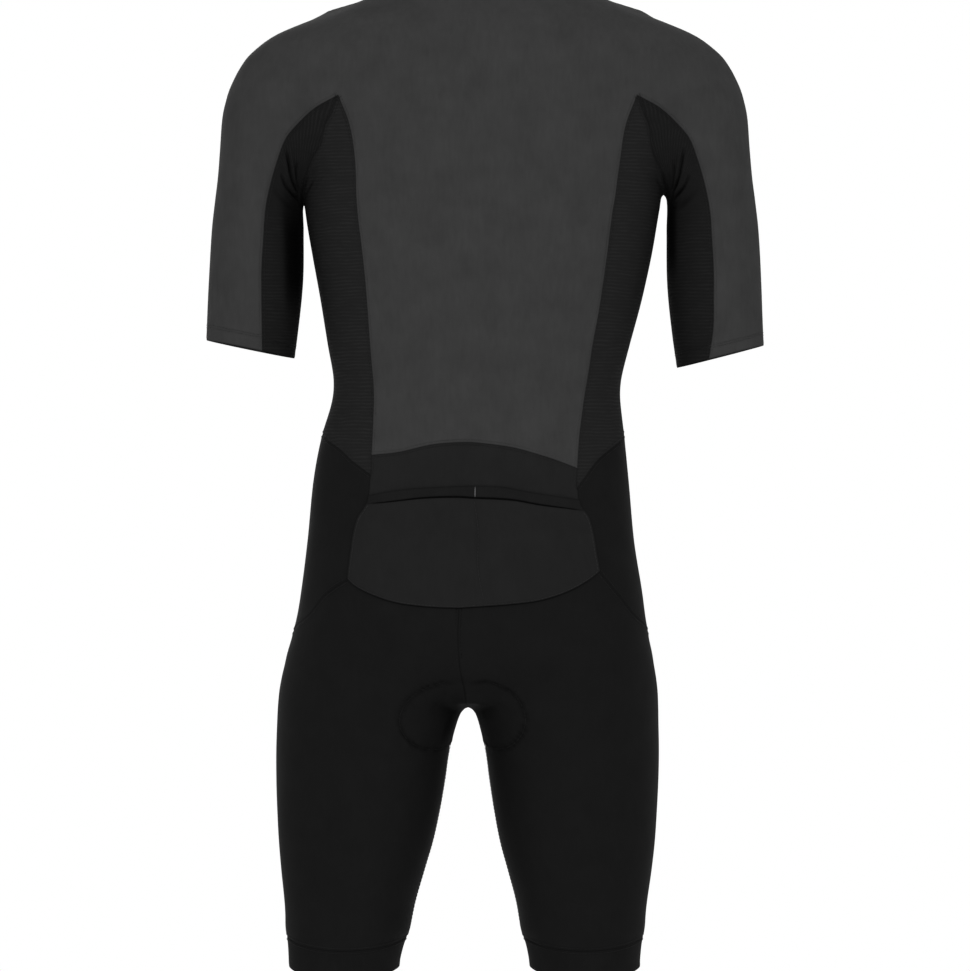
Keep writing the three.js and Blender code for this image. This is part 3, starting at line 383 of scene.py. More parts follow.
def curve(guides, count):
    """A centripetal Catmull-Rom line through the guides, in count even steps.

    Each span is the cubic between two guides whose end slopes come from the guides on either
    side, weighted by the square roots of their distances."""
    g = np.asarray(guides, float)
    g = np.vstack([2 * g[0] - g[1], g, 2 * g[-1] - g[-2]])
    d = np.sqrt(np.linalg.norm(np.diff(g, axis=0), axis=1))[:, None]
    d0, d1, d2 = d[:-2], d[1:-1], d[2:]
    p0, p1, p2, p3 = g[:-3], g[1:-2], g[2:-1], g[3:]
    leave = d1 * ((p1 - p0) / d0 - (p2 - p0) / (d0 + d1) + (p2 - p1) / d1)
    arrive = d1 * ((p2 - p1) / d1 - (p3 - p1) / (d1 + d2) + (p3 - p2) / d2)
    t = np.linspace(0, 1, 33)[:, None, None]
    line = (
        p1 + t * leave
        + t**2 * (3 * (p2 - p1) - 2 * leave - arrive)
        + t**3 * (2 * (p1 - p2) + leave + arrive)
    ).swapaxes(0, 1)
    line = np.vstack([line[:, :-1].reshape(-1, 3), g[-2]])
    run = np.append(0, np.cumsum(np.linalg.norm(np.diff(line, axis=0), axis=1)))
    even = np.linspace(0, run[-1], count + 1)
    return np.stack([np.interp(even, run, line[:, k]) for k in range(3)], -1)


def seam(guides, count):
    """A curve laid on the skin, whose ends stay at the first and last guides."""
    guides = np.vstack([np.atleast_2d(g) for g in guides])
    line = settle(curve(guides, count))
    line[0], line[-1] = guides[0], guides[-1]
    return line


def joined(*seams):
    """Seams end to end, without the points they share."""
    return np.vstack([seams[0], *(line[1:] for line in seams[1:])])


def neck_ring(height, degrees):
    """The neck's ring at a height along the leaning neck, higher over the shoulders by side_rise
    times the square of the cosine. 0 degrees is the wearer's left, 90 the back."""
    degrees = np.asarray(degrees, float)
    up = np.array([0, -np.sin(NECK.lean), np.cos(NECK.lean)])
    back = np.array([0, np.cos(NECK.lean), np.sin(NECK.lean)])
    rise = height + NECK.side_rise * np.cos(np.radians(degrees)) ** 2
    return around(NECK.base + rise[..., None] * up, LEFTWARD, back, degrees)


RAGLAN_TOP = -38
ZIP_AT_NECK = np.degrees(np.arccos(ZIP_HALF_WIDTH / NECK.half_depth))


def neck_arc(height, start, end, count):
    """Part of the neck's ring in even angles."""
    return neck_ring(height, np.linspace(start, end, count + 1))


print("neck seam at the back:", neck_ring(0.0, 90.0).round(1))

# %% The seams of one side
SIDE_SEAM_BACK = Table(["out"], [
    [-71, 142], [-85, 135.5], [-101, 131], [-115, 128.5], [-132, 126.2], [-167, 123.1],
    [-206, 118.4], [-248, 113.3], [-279, 109.7], [-312, 105.4], [-343, 101.9], [-361, 99.8],
    [-389, 98.6], [-430, 98],
])
SIDE_SEAM_FRONT = Table(["out"], [
    [-92, 130], [-120, 122], [-167, 117], [-243, 110], [-312, 104], [-389, 100], [-430, 98],
])
POCKET_EDGE = Table(["out"], [
    [-409, 98], [-432, 98.5], [-452, 99.5], [-461, 101.5], [-467, 105.5], [-473, 109.3],
    [-486, 113], [-503, 115.7], [-523, 118.7], [-531, 119.5],
])
APEX, FRONT_APEX = (142, -71), (130, -92)
SLEEVE_EDGE = np.array([
    (163.5, -83), (180, -98), (191.5, -112), (199.3, -132), (206, -155), (211, -180), (213, -208),
    (214.7, -238), (214.7, -262), (214.3, -292),
], float)
ARMHOLE_BACK = {
    "left": np.array([(148, -88), (154, -98.5), (158.5, -118), (166.5, -131)]),
    "right": np.array([(148, -88), (152.9, -98.5), (155.5, -120.7), (158.5, -130)]),
}
ARMPIT_FOLD = [30, 18, 5, -10, -30]
ARMHOLE_FRONT = np.array([(168, -50, -138), (158, -62, -124), (142, -74, -110)], float)
SLEEVE_HEM = {"left": (-321, -304), "right": (-330, -309)}
HEM_BACK_EDGE, HEM_FRONT_EDGE = 106, -104
CORNERS = {
    "left": SimpleNamespace(grey=-413, side=-432, band=-452, mouth=-460, pocket=-531),
    "right": SimpleNamespace(grey=-425.5, side=-445, band=-456, mouth=-466.5, pocket=-523.5),
}
POCKET_FOOT = {
    "left": np.array([(112, -538), (91.4, -548), (70.5, -554), (38.2, -557.6)]),
    "right": np.array([(108, -532), (89, -542.5), (63.4, -551), (36, -554.8)]),
}
WAIST_AT_SIDE, WAIST_AT_ZIP, CROTCH_HEIGHT = -425, -432, -650
PAD_TOP, PAD_FRONT_TOP, PAD_STEPS = -628, -608, 60
PAD_REACH = {"left": 1, "right": 0.84}


def side_seams(side):
    """Every seam of one side of the suit, laid from the tables, as lines of points."""
    s = 1 if side == "left" else -1
    corner = CORNERS[side]
    outward, inward = s * LEFTWARD, -s * LEFTWARD

    def trunk_centre(height):
        return points_of(MIDLINE("shift", height), 0, height)

    def arm_centre(height):
        return points_of(s * (ARM("inner", height) + ARM("outer", height)) / 2, 0, height)

    def leg_centre(height):
        out = s * (LEG("inner", height) + LEG("outer", height)) / 2
        return points_of(MIDLINE("shift", height) + out, 0, height)

    def down(view, places, start, end, count):
        heights = np.linspace(start, end, 13)
        return seam([view(s * places("out", heights) + SEAM_SKEW, heights)], count)

    def flank(height):
        return leaves(trunk_centre(height), outward)

    apex = behind(s * APEX[0] + SEAM_SKEW, APEX[1])
    front_apex = before(s * FRONT_APEX[0] + SEAM_SKEW, FRONT_APEX[1])
    back_edge = down(behind, SIDE_SEAM_BACK, APEX[1], corner.grey, DOWN_BODY)
    back_edge_low = down(behind, SIDE_SEAM_BACK, corner.grey, corner.side, DOWN_STRIP)
    front_edge = down(before, SIDE_SEAM_FRONT, FRONT_APEX[1], WAIST_AT_SIDE,
                      DOWN_BODY + DOWN_STRIP)

    hem_inner, hem_outer = (
        np.array([s * ARM(edge, height), 0, height])
        for edge, height in zip(("inner", "outer"), SLEEVE_HEM[side])
    )
    hem_way, hem_centre = unit(hem_outer - hem_inner), (hem_inner + hem_outer) / 2
    hem_over, hem_under = (
        around(hem_centre, hem_way, BACKWARD, np.linspace(HEM_BACK_EDGE, end, count + 1))
        for end, count in ((HEM_FRONT_EDGE, OVER_SHOULDER), (HEM_FRONT_EDGE + 360, ACROSS_SIDE))
    )

    def edge(view, places):
        return view(s * places[:, 0] + SEAM_SKEW, places[:, 1])

    sleeve_back = seam([apex, edge(seen_behind, SLEEVE_EDGE), hem_over[0]], DOWN_SLEEVE)
    sleeve_front = seam(
        [front_apex, edge(seen_before, SLEEVE_EDGE[1:]), hem_over[-1]], DOWN_SLEEVE
    )
    armhole = seam(
        [apex, edge(seen_behind, ARMHOLE_BACK[side]), armpit(s, ARMPIT_FOLD),
         settle(ARMHOLE_FRONT * (s, 1, 1)), front_apex],
        ACROSS_SIDE,
    )
    shoulder_centre = np.array([s * APEX[0] + SEAM_SKEW, 0, APEX[1]])
    over_top = around(shoulder_centre, BACKWARD, UPWARD, [30, 60, 90, 120, 150])
    shoulder = seam([apex, over_top, front_apex], OVER_SHOULDER)
    neck_front_point = neck_ring(0.0, RAGLAN_TOP if s > 0 else 180 - RAGLAN_TOP)
    raglan_way = neck_front_point - front_apex
    raglan = seam(
        [front_apex,
         settle(front_apex + 0.4 * raglan_way + (0, -12, 6)),
         settle(front_apex + 0.75 * raglan_way + (0, -8, 4)),
         neck_front_point],
        ACROSS_RAGLAN,
    )

    zip_angle = -ZIP_AT_NECK if s > 0 else ZIP_AT_NECK - 180
    neck_front = neck_arc(0, RAGLAN_TOP if s > 0 else -180 - RAGLAN_TOP, zip_angle,
                          ACROSS_NECK_FRONT)
    zip_bottom = before(s * ZIP_HALF_WIDTH, WAIST_AT_ZIP)
    zip_edge = seam(
        [neck_front[-1],
         before(s * ZIP_HALF_WIDTH, [-45, -90, -140, -200, -260, -320, -380]), zip_bottom],
        DOWN_BODY + DOWN_STRIP,
    )
    waist = seam(
        [zip_bottom, before(s * np.array([35, 68]), [-431, -428]), front_edge[-1]],
        ACROSS_RAGLAN + ACROSS_NECK_FRONT,
    )

    side_bottom = seam(
        [back_edge_low[-1], behind(s * np.array([117, 128]) + SEAM_SKEW, [-418, -408]),
         flank(-393), before(s * 124, -402), front_edge[-1]],
        ACROSS_SIDE,
    )
    pocket_top = down(behind, POCKET_EDGE, corner.side, corner.band, DOWN_STRIP)
    pocket_band = down(behind, POCKET_EDGE, corner.band, corner.mouth, DOWN_STRIP)
    pocket_side = down(behind, POCKET_EDGE, corner.mouth, corner.pocket, DOWN_POCKET)
    seat_top = behind(12, -558.4)
    foot = POCKET_FOOT[side]
    pocket_bottom = seam(
        [pocket_side[-1], behind(s * foot[:, 0] + SEAM_SKEW, foot[:, 1]), seat_top],
        ACROSS_BACK // 2,
    )
    belly = before(0, -520)
    centre_front = seam([before(0, [WAIST_AT_ZIP, -460, -490]), belly], DOWN_HIP)
    waist_to_centre = joined(
        side_bottom, waist[::-1], seam([waist[0], centre_front[0]], FINE_ACROSS)
    )
    hip_bottom = seam(
        [pocket_side[-1], behind(s * np.array([139, 154]), [-546, -565]), flank(-581),
         before(s * np.array([150, 112, 60]), [-577, -556, -532]), belly],
        len(waist_to_centre) - 1,
    )

    crotch = settle(points_of(MIDLINE("shift", CROTCH_HEIGHT - 3), 0, CROTCH_HEIGHT))
    seat = seam([seat_top, behind(np.array([12, 9, 4]), [-585, -615, -636]), crotch], DOWN_SEAT)
    fly = seam([belly, before(0, [-560, -600, -630]), crotch], DOWN_SEAT)
    inseam_heights = np.array([-672, -700, -730, -765, -800, -835, GRIPPER_TOP], float)
    inseam = seam([crotch, leaves(leg_centre(inseam_heights), inward)], DOWN_THIGH)

    def leg_ring(height):
        turn = 180 - np.linspace(0, 360, len(pocket_bottom) + len(hip_bottom) - 1)
        heights = height - RING_SAG * np.sin(np.radians(turn)) ** 2
        return around(leg_centre(heights), outward, BACKWARD, turn)

    pad_middle = seam(
        [behind(0, [PAD_TOP, -641]), crotch, before(0, [-636, PAD_FRONT_TOP])], PAD_STEPS
    )
    lobe = s * PAD_REACH[side]
    pad_rim = seam(
        [behind(lobe * np.array([22, 40, 58, 65, 62, 48]),
                [PAD_TOP, -634, -647, -662, -677, -690]),
         leaves(leg_centre(-686), inward),
         before(lobe * np.array([40, 46, 42, 22]), [-672, -655, -630, PAD_FRONT_TOP])],
        PAD_STEPS,
    )
    return SimpleNamespace(**{k: v for k, v in locals().items() if k != "corner"})


LEFT, RIGHT = side_seams("left"), side_seams("right")
SIDES = {"left": LEFT, "right": RIGHT}
lines = [v for v in vars(LEFT).values() if isinstance(v, np.ndarray) and v.ndim == 2]
print("seams a side:", len(lines))


def across(start, places, end):
    """A seam from side to side over the back."""
    out, height = np.array(places, float).T
    return seam([start, behind(out, height), end], ACROSS_BACK)


YOKE_LINE = across(LEFT.apex, [(x, -71) for x in (100, 50, 0, -50, -100)], RIGHT.apex)
GREY_HEM = across(
    LEFT.back_edge[-1],
    [(70.8, -410.4), (37, -402.8), (5.6, -400.9),
     (-9.6, -401.9), (-37.4, -405.7), (-69, -414.2)],
    RIGHT.back_edge[-1],
)
BAND_LINE = across(
    LEFT.pocket_top[-1],
    [(79.7, -448.4), (56, -445.5), (24.6, -443.7),
     (-3, -442.7), (-28.6, -443.7), (-60, -449.4)],
    RIGHT.pocket_top[-1],
)
MOUTH_LINE = across(
    LEFT.pocket_band[-1],
    [(77.8, -457.9), (43.6, -454.1), (14.2, -453.2),
     (-3, -454.1), (-39, -456), (-66.6, -460.8)],
    RIGHT.pocket_band[-1],
)
POCKET_HEM = joined(LEFT.pocket_bottom, RIGHT.pocket_bottom[::-1])
NECK_BACK = neck_arc(0, RAGLAN_TOP, 180 - RAGLAN_TOP, ACROSS_NECK_BACK)
NECK_SEAM = joined(LEFT.neck_front[::-1], NECK_BACK, RIGHT.neck_front)
print("pocket hem", len(POCKET_HEM), "points; neck seam", len(NECK_SEAM), "points")

# %% [markdown]
# ## From seams to cloth
#
# Four seams round a piece are filled with a net of points, as a sheet of rubber held at its rim
# would lie: this is a Coons patch. A piece that bends far round the body is filled in angle and
# height instead, and its points are found by looking outwards from the centre line. Near a seam
# two more rows are added, so that the cloth can roll in at its edge.

# %% Nets of points
SEAM_PULL = 3
RIM_ROWS = (0.2, 0.5)


def marks(count, finer):
    """Places along a net: whole cells, each split in finer, and the rim rows at both ends."""
    rim = np.array(RIM_ROWS)
    return np.unique(np.round(
        np.concatenate([np.linspace(0, count, count * finer + 1), rim, count - rim]), 6))


def read(line, places):
    """A line's points at places in its list, straight between neighbours, laid on the skin."""
    whole = np.arange(len(line))
    points = settle(np.stack([np.interp(places, whole, line[:, k]) for k in range(3)], -1), 5)
    points[0], points[-1] = line[0], line[-1]
    return points


def read_four(top, bottom, left, right, across_at, down_at):
    """The four seams of a net, read at its places across and down."""
    return [*(read(line, across_at) for line in (top, bottom)),
            *(read(line, down_at) for line in (left, right))]


def patch(top, bottom, left, right, u, v, pull):
    """The Coons patch: straight between top and bottom, plus what the left and right lines bow
    away from straight, fading inwards with the power pull."""
    u, v = u[None, :, None], v[:, None, None]
    bow_left = left[:, None] - ((1 - v) * top[0] + v * bottom[0])
    bow_right = right[:, None] - ((1 - v) * top[-1] + v * bottom[-1])
    return (1 - v) * top + v * bottom + (1 - u) ** pull * bow_left + u**pull * bow_right


def framed(grid, top, bottom, left, right):
    """A net with its four seams put in exactly."""
    grid[:, 0], grid[:, -1], grid[0], grid[-1] = left, right, top, bottom
    return grid


def net(top, bottom, left, right, pull=1, finer=1, puff=(0, 0, 0)):
    """A patch between four seams, laid on the skin. Where it would start inside a limb, puff
    first moves its middle out: by puff times 4 u (1 - u), and times 8 v (1 - v) up to one."""
    across_at, down_at = marks(len(top) - 1, finer), marks(len(left) - 1, finer)
    seams = read_four(top, bottom, left, right, across_at, down_at)
    u, v = across_at / (len(top) - 1), down_at / (len(left) - 1)
    middle = 4 * u * (1 - u) * np.minimum(1, 8 * v * (1 - v))[:, None]
    grid = patch(*seams, u, v, pull) + middle[..., None] * np.array(puff, float)
    return framed(settle(grid), *seams)


def tube_net(top, bottom, left, right, centre, zero_way, finer=1, rows=None):
    """A patch in angle and height round a centre line, cast outwards onto the skin. Only the
    corners of the model's own cells are cast: between them the points lie straight and are then
    laid on the skin, so that none slips past a fold."""
    across, down = len(top) - 1, len(left) - 1
    columns = np.arange(0, across + 1, FINE_ACROSS)
    rows = np.arange(0, down + 1, FINE_DOWN) if rows is None else rows

    def unrolled(points, start):
        away = points - centre(points[:, 2])
        turn = np.degrees(np.arctan2(away @ BACKWARD, away @ zero_way))
        turn = np.unwrap(np.append(start, turn), period=360)[1:]
        return np.stack([turn, points[:, 2]], -1)

    corners = [top[columns], bottom[columns], left[rows], right[rows]]
    flat = [unrolled(line, start) for line, start in zip(corners, (135, 135, 135, -135))]
    chart = patch(*flat, columns / across, rows / down, SEAM_PULL)
    cast = framed(around(centre(chart[..., 1]), zero_way, BACKWARD, chart[..., 0]), *corners)

    across_at, down_at = marks(across, finer), marks(down, finer)
    seams = read_four(top, bottom, left, right, across_at, down_at)
    i = np.clip(np.searchsorted(columns, across_at, "right") - 1, 0, len(columns) - 2)
    j = np.clip(np.searchsorted(rows, down_at, "right") - 1, 0, len(rows) - 2)
    u = ((across_at - columns[i]) / np.diff(columns)[i])[None, :, None]
    v = ((down_at - rows[j]) / np.diff(rows)[j])[:, None, None]
    upper = (1 - u) * cast[j][:, i] + u * cast[j][:, i + 1]
    lower = (1 - u) * cast[j + 1][:, i] + u * cast[j + 1][:, i + 1]
    grid = (1 - v) * upper + v * lower
    # The outermost cells also bow with their seam, fading inwards over one cell.
    grid += (1 - v) * (j == 0)[:, None, None] * (seams[0] - grid[0])
    grid += v * (j == j[-1])[:, None, None] * (seams[1] - grid[-1])
    grid += (1 - u) * (i == 0)[None, :, None] * (seams[2] - grid[:, 0])[:, None]
    grid += u * (i == i[-1])[None, :, None] * (seams[3] - grid[:, -1])[:, None]
    return framed(settle(grid), *seams)


# %% [markdown]
# ## Creases
#
# The suit is stretched smooth, and folds only where a limb bends the cloth: fans that run into
# the armpits, ripples at the waist, and pulls towards the crotch. A crease is a line on the skin.
# Cloth near it goes in, and stands a little proud on both sides. The depth swells and fades along
# the line and no two are alike, because a regular crease looks like a groove in plastic.

# %% The table of creases
ARMS_END = -250  # creases below this height follow the centre line, which bends


def crease(view, places, depth, width, side=1, ink=0.0):
    """A crease through (out, height) places as seen from behind (view 1) or the front (-1). The
    last argument is how much painted shade its bottom gets.
    """
    out, height = np.array(places, float).T
    x = side * out + np.where(height < ARMS_END, MIDLINE("shift", height), 0)
    view_way = seen_behind if view > 0 else seen_before
    return settle(curve(view_way(x, height), 14)), depth, width, ink


CREASES = []
for side, tweak in ((1, 1.0), (-1, 0.8)):
    # armpits, seen from behind; a row's sixth number is painted shade at the crease's bottom
    CREASES += [
        crease(1, [(188, -124), (186, -136), (183.5, -149), (176.5, -171)], 3.0 * tweak, 1.7,
               side, 0.85),
        crease(1, [(193, -148), (189, -157), (183, -165), (176.5, -172)], 2.4 * tweak, 1.6,
               side, 0.8),
        crease(1, [(168, -144), (171, -157), (175.5, -170)], 1.3, 1.7, side, 0.55),
        crease(1, [(162, -150), (167.5, -160), (174.5, -170)], 1.0 * tweak, 1.8, side, 0.4),
        crease(1, [(178, -135), (179, -150), (176.5, -166)], 1.0, 1.8, side, 0.4),
        crease(1, [(201, -160), (194, -168), (186, -175), (178, -178)], 0.9, 2.6, side, 0.2),
        crease(1, [(150, -138), (160, -152), (168, -163)], 0.45, 4.0, side),
    ]
    # armpits, seen from the front
    CREASES += [
        crease(-1, [(190, -120), (186, -138), (180, -156), (176, -168)], 2.2 * tweak, 3.0, side),
        crease(-1, [(176, -110), (178, -130), (178, -150), (176, -166)], 1.3, 3.2, side),
        crease(-1, [(198, -142), (190, -156), (180, -169)], 1.4 * tweak, 2.6, side),
        crease(-1, [(150, -120), (161, -140), (171, -160)], 1.1, 3.6, side),
        crease(-1, [(132, -128), (148, -146), (164, -162)], 0.8 * tweak, 4.2, side),
        crease(-1, [(120, -150), (142, -161), (160, -168)], 0.6, 4.4, side),
    ]
    # short ripples at the waist, on the side pieces, from behind and from the front
    for step, (out, high, long, deep) in enumerate([
        (118, -312, 17, 0.5), (122, -319, 20, 0.7), (126, -325.5, 18, 0.6),
        (121, -332, 22, 0.75), (127, -338.5, 16, 0.55), (122, -345, 15, 0.4),
        (124, -300, 14, 0.3), (127, -366, 15, 0.35),
    ]):
        sway = 1.4 * np.sin(2.1 * step + side)
        places = [(out - long / 2, high + sway), (out, high - 1.2), (out + long / 2, high + 1.1)]
        CREASES.append(crease(1, places, deep * tweak, 1.9, side))
        CREASES.append(crease(-1, [(x - 5, z - 4) for x, z in places], 0.8 * deep, 2.2, side))
    # long soft folds: over the belly, from the hip to the crotch, and under the seat
    CREASES += [
        crease(-1, [(14, -352), (55, -346), (95, -338)], 0.8 * tweak, 6.0, side),
        crease(-1, [(12, -386), (60, -384), (104, -372)], 0.9, 7.0, side),
        crease(-1, [(16, -322), (48, -318), (80, -310)], 0.5 * tweak, 6.0, side),
        crease(-1, [(148, -572), (112, -600), (74, -624), (34, -646)], 1.5 * tweak, 6.5, side),
        crease(-1, [(118, -560), (86, -586), (52, -610), (26, -628)], 0.9, 6.0, side),
        crease(-1, [(150, -606), (118, -632), (84, -652), (50, -670)], 0.8 * tweak, 6.5, side),
        crease(-1, [(60, -716), (74, -704), (96, -694)], 0.7, 5.0, side),
        crease(1, [(58, -712), (80, -703), (112, -698), (140, -702)], 0.55 * tweak, 8.0, side),
        crease(1, [(38, -658), (30, -650), (20, -641)], 0.8, 3.0, side),
        crease(1, [(128, -372), (108, -379), (84, -381)], 0.3 * tweak, 5.0, side),
        crease(1, [(190, -270), (204, -262), (222, -258)], 0.35, 4.5, side),
        crease(1, [(186, -298), (206, -292), (228, -290)], 0.3 * tweak, 4.5, side),
        crease(-1, [(188, -250), (206, -240), (230, -238)], 0.6, 4.5, side),
        crease(-1, [(186, -276), (208, -268), (234, -262)], 0.5 * tweak, 4.5, side),
        crease(-1, [(92, -48), (112, -66), (126, -86)], 0.6 * tweak, 5.0, side),
        crease(-1, [(60, -40), (88, -62), (112, -92)], 0.4, 6.0, side),
    ]
CREASES += [
    crease(1, [(-70, -372), (-10, -378), (62, -371)], 0.25, 6.0),
    crease(1, [(-58, -392), (8, -388), (70, -394)], 0.2, 5.0),
    crease(1, [(15, -570), (15, -600), (16, -628)], 0.6, 6.0),
    crease(-1, [(-80, -452), (0, -447), (84, -454)], 0.5, 7.0),
]
print("creases:", len(CREASES))


# %% How far the cloth moves in or out
FAR_OFF = 1e9


def bell(distance, width):
    """1 at no distance, falling off on both sides as exp(-(distance / width)^2)."""
    return np.exp(-((distance / width) ** 2))


def nearest(points, start, step):
    """Of each point to each straight step of a line: the place on the step that is nearest, from
    0 to 1, and how far off it is."""
    away = points[:, None] - start
    t = np.clip((away * step).sum(-1) / np.maximum((step * step).sum(-1), 1e-9), 0, 1)
    return t, np.linalg.norm(away - t[..., None] * step, axis=-1)


def to_line(points, line, reach):
    """Nearest distance of points to a line of short straight steps, and how far along it that
    is, from 0 to 1. Points further than reach from the line's box count as far off."""
    distance, along = np.full(len(points), FAR_OFF), np.zeros(len(points))
    near = np.all((points > line.min(0) - reach) & (points < line.max(0) + reach), axis=1)
    if not near.any():
        return distance, along
    t, gap = nearest(points[near], line[:-1], np.diff(line, axis=0))
    best = gap.argmin(1)
    rows = np.arange(len(best))
    distance[near] = gap[rows, best]
    along[near] = (best + t[rows, best]) / (len(line) - 1)
    return distance, along


def folds(points):
    """Movement along the normal from every crease: a trough of the depth, falling off as
    exp(-(d / width)^2), with a ridge of 0.4 of the depth at 1.9 widths on either side. Along the
    line it swells as the root of a sine and wavers by a fifth. The second value is painted shade:
    how much of the colour is taken away at the bottom of a tight crease, from 0 to 1."""
    total, ink = np.zeros(len(points)), np.zeros(len(points))
    for number, (line, depth, width, dark) in enumerate(CREASES):
        d, along = to_line(points, line, 5 * width)
        d = d / width
        swell = np.sqrt(np.maximum(np.sin(np.pi * np.clip(along, 0.02, 0.98)), 0))
        swell = swell * (1 + 0.2 * np.sin(9 * along + 1.7 * number))
        d = np.minimum(d, 20)
        total += depth * swell * (0.4 * bell(d - 1.9, 1) - bell(d, 1))
        # painted shade along the bottom of the crease
        ink = np.maximum(ink, dark * swell * bell(d, 0.8))
    return total, ink


def drift(points):
    """Slow unevenness of hand-sewn cloth, a few tenths of a millimetre: three crossed sines."""
    x, y, z = points.T
    return 0.16 * (
        np.sin(x / 23 + 1.3 * np.sin(z / 41)) * np.sin(z / 37 + 0.6)
        + np.sin(y / 19 + z / 53) * np.sin(x / 31 - z / 61)
        + 0.5 * np.sin(x / 11 - y / 13 + z / 29)
    )


# %% [markdown]
# The seat pad shows through the shorts from behind. Its rim makes a thin welt with painted shade
# in its groove, and the cloth over it lies a little higher. Both are worked out from the pad's own
# outline.

# %% The pad showing through
PAD_LINE = np.vstack([LEFT.pad_rim, RIGHT.pad_rim[::-1], LEFT.pad_rim[:1]])


def welt(points):
    """Over the pad's rim: a trough 0.75 mm deep just outside the line, a ridge 0.45 mm high just
    inside it, and a plateau over the pad that is 0.7 mm high. A point lies inside where it is
    nearer to the pad's middle than the nearest part of the rim is."""
    d, _ = to_line(points, PAD_LINE, 70)
    middle, _ = to_line(points, LEFT.pad_middle, 200)
    reach, _ = to_line(PAD_LINE, LEFT.pad_middle, 400)
    rim = np.linalg.norm(points[:, None] - PAD_LINE[None, ::3], axis=-1).argmin(1)
    signed = np.clip(np.where(middle < reach[::3][rim], -d, d), -200, 200)
    plateau = 0.7 / (1 + np.exp(np.clip(signed / 1.3, -50, 50)))
    groove, lip = -0.75 * bell(signed - 1.6, 1.7), 0.45 * bell(signed + 2.2, 1.8)
    return np.where(d < FAR_OFF, plateau + groove + lip, 0)


def welt_ink(points):
    """Painted shade in the rim's stitched groove: it takes up to 0.75 of the colour away, as
    exp(-(d / 1.9)^2), and a fifth less in places along it."""
    d, along = to_line(points, PAD_LINE, 12)
    return 0.75 * (0.8 + 0.2 * np.sin(60 * along)) * bell(d, 1.9)


print("pad outline", len(PAD_LINE), "points")

# %% [markdown]
# Where two limbs nearly touch, the cloth between them gets hardly any light. Lamps alone would
# leave it grey, so these patches paint that shade into the cloth's colour, as for a tight crease.
# A patch is soft at its ends: its strength times exp(-(across / half)^4 - (down / tall)^4), and it
# fades out towards the front.

# %% Shade between the limbs
# middle and height, half the width and half the height, lean sideways per unit of height, and
# the part of the colour taken away as painted shade; in millimetres, seen from behind
ARM_SHADE = [
    (181, -226, 8.5, 52, 0.03, 0.95),
    (-175.5, -202, 5, 38, 0.0, 0.85),
]
CROTCH_SHADE = [
    (30.5, -660, 6, 22, -0.28, 0.85),
    (8, -662, 5, 18, 0.28, 0.35),
    (18, -652, 25, 9, 0.0, 0.62),
]


def shaded(points, patches):
    """Painted shade: how much of the colour the strongest patch takes away at each point, 0 to 1.
    """
    x, y, z = points.T
    lost = np.zeros(len(points))
    for middle, height, half, tall, lean, most in patches:
        across = (x - middle - lean * (z - height)) / half
        down = (z - height) / tall
        lost = np.maximum(lost, most * np.exp(-(across**4) - down**4))
    return lost / (1 + np.exp(-(y + 22) / 5))


print("shade patches", len(ARM_SHADE) + len(CROTCH_SHADE))

# %% [markdown]
# ## Making a piece
#
# The nets of a piece are merged into one mesh. Its rim laps the seam by a tenth of a
# millimetre and rolls inwards, the creases move its points along the normals, and Solidify
# gives the cloth its wall on the inside, so that the outside stays on the skin. Three maps go
# with it: the cloth's own millimetres, which knitted patterns follow, the distance from the
# nearest edge, and how deep in shade a point lies.

# %% Cloth
def numbered(grids):
    """One list of points for several nets, and each net's quads as numbers into it."""
    every = np.concatenate([grid.reshape(-1, 3) for grid in grids])
    _, first, where = np.unique(
        np.round(every, 3), axis=0, return_index=True, return_inverse=True
    )
    where = where.reshape(-1)
    quads, start = [], 0
    for grid in grids:
        n = where[start:start + grid.shape[0] * grid.shape[1]].reshape(grid.shape[:2])
        start += n.size
        quads.append(np.stack([n[:-1, :-1], n[1:, :-1], n[1:, 1:], n[:-1, 1:]], -1).reshape(-1, 4))
    return every[first], quads


def face_out(points, normals, quads):
    """Quads turned so that they face along the normals."""
    a, b, c, d = points[quads].swapaxes(0, 1)
    facing = (np.cross(c - a, d - b) * normals[quads[:, 0]]).sum()
    return quads if facing > 0 else quads[:, ::-1]


def rim_of(quads, count):
    """Directed edges that only one quad has: the rim."""
    start, end = quads.reshape(-1), np.roll(quads, -1, axis=1).reshape(-1)
    lone = ~np.isin(end * count + start, start * count + end)
    return start[lone], end[lone]


def rim_distance(points, start, end):
    """Distance of each point to the nearest piece of rim."""
    result = np.empty(len(points))
    for part in np.array_split(np.arange(len(points)), max(1, len(points) // 2500)):
        result[part] = nearest(points[part], points[start], points[end] - points[start])[1].min(1)
    return result


def cloth_maps(grids):
    """Millimetres across and down the cloth at each net point: mean lengths of the net's cells,
    added up along its rows and columns."""
    maps = []
    for grid in grids:
        wide = np.linalg.norm(np.diff(grid, axis=1), axis=-1).mean(0)
        long = np.linalg.norm(np.diff(grid, axis=0), axis=-1).mean(1)
        u, v = np.append(0, np.cumsum(wide)), np.append(0, np.cumsum(long))
        maps.append(np.stack(np.meshgrid(u - u[-1] / 2, -v), -1))
    return maps


def make_mesh(name, points, faces, uv=None):
    """A smooth mesh from points in millimetres, a list of faces, and one UV place a corner."""
    mesh = bpy.data.meshes.new(name)
    mesh.from_pydata((points * MM).tolist(), [], faces)
    mesh.polygons.foreach_set("use_smooth", np.ones(len(mesh.polygons), bool))
    if uv is not None:
        layer = mesh.uv_layers.new(name="cloth")
        layer.data.foreach_set("uv", uv.astype(np.float32).reshape(-1))
    mesh.update()
    return linked(name, mesh)


def enter(thing, slot, *nodes, body=SUIT):
    """Enters a piece: the body it rides on and the nodes it stands for. The slot is not used."""
    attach(thing, body)
    if nodes:
        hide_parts(*nodes)
    return thing


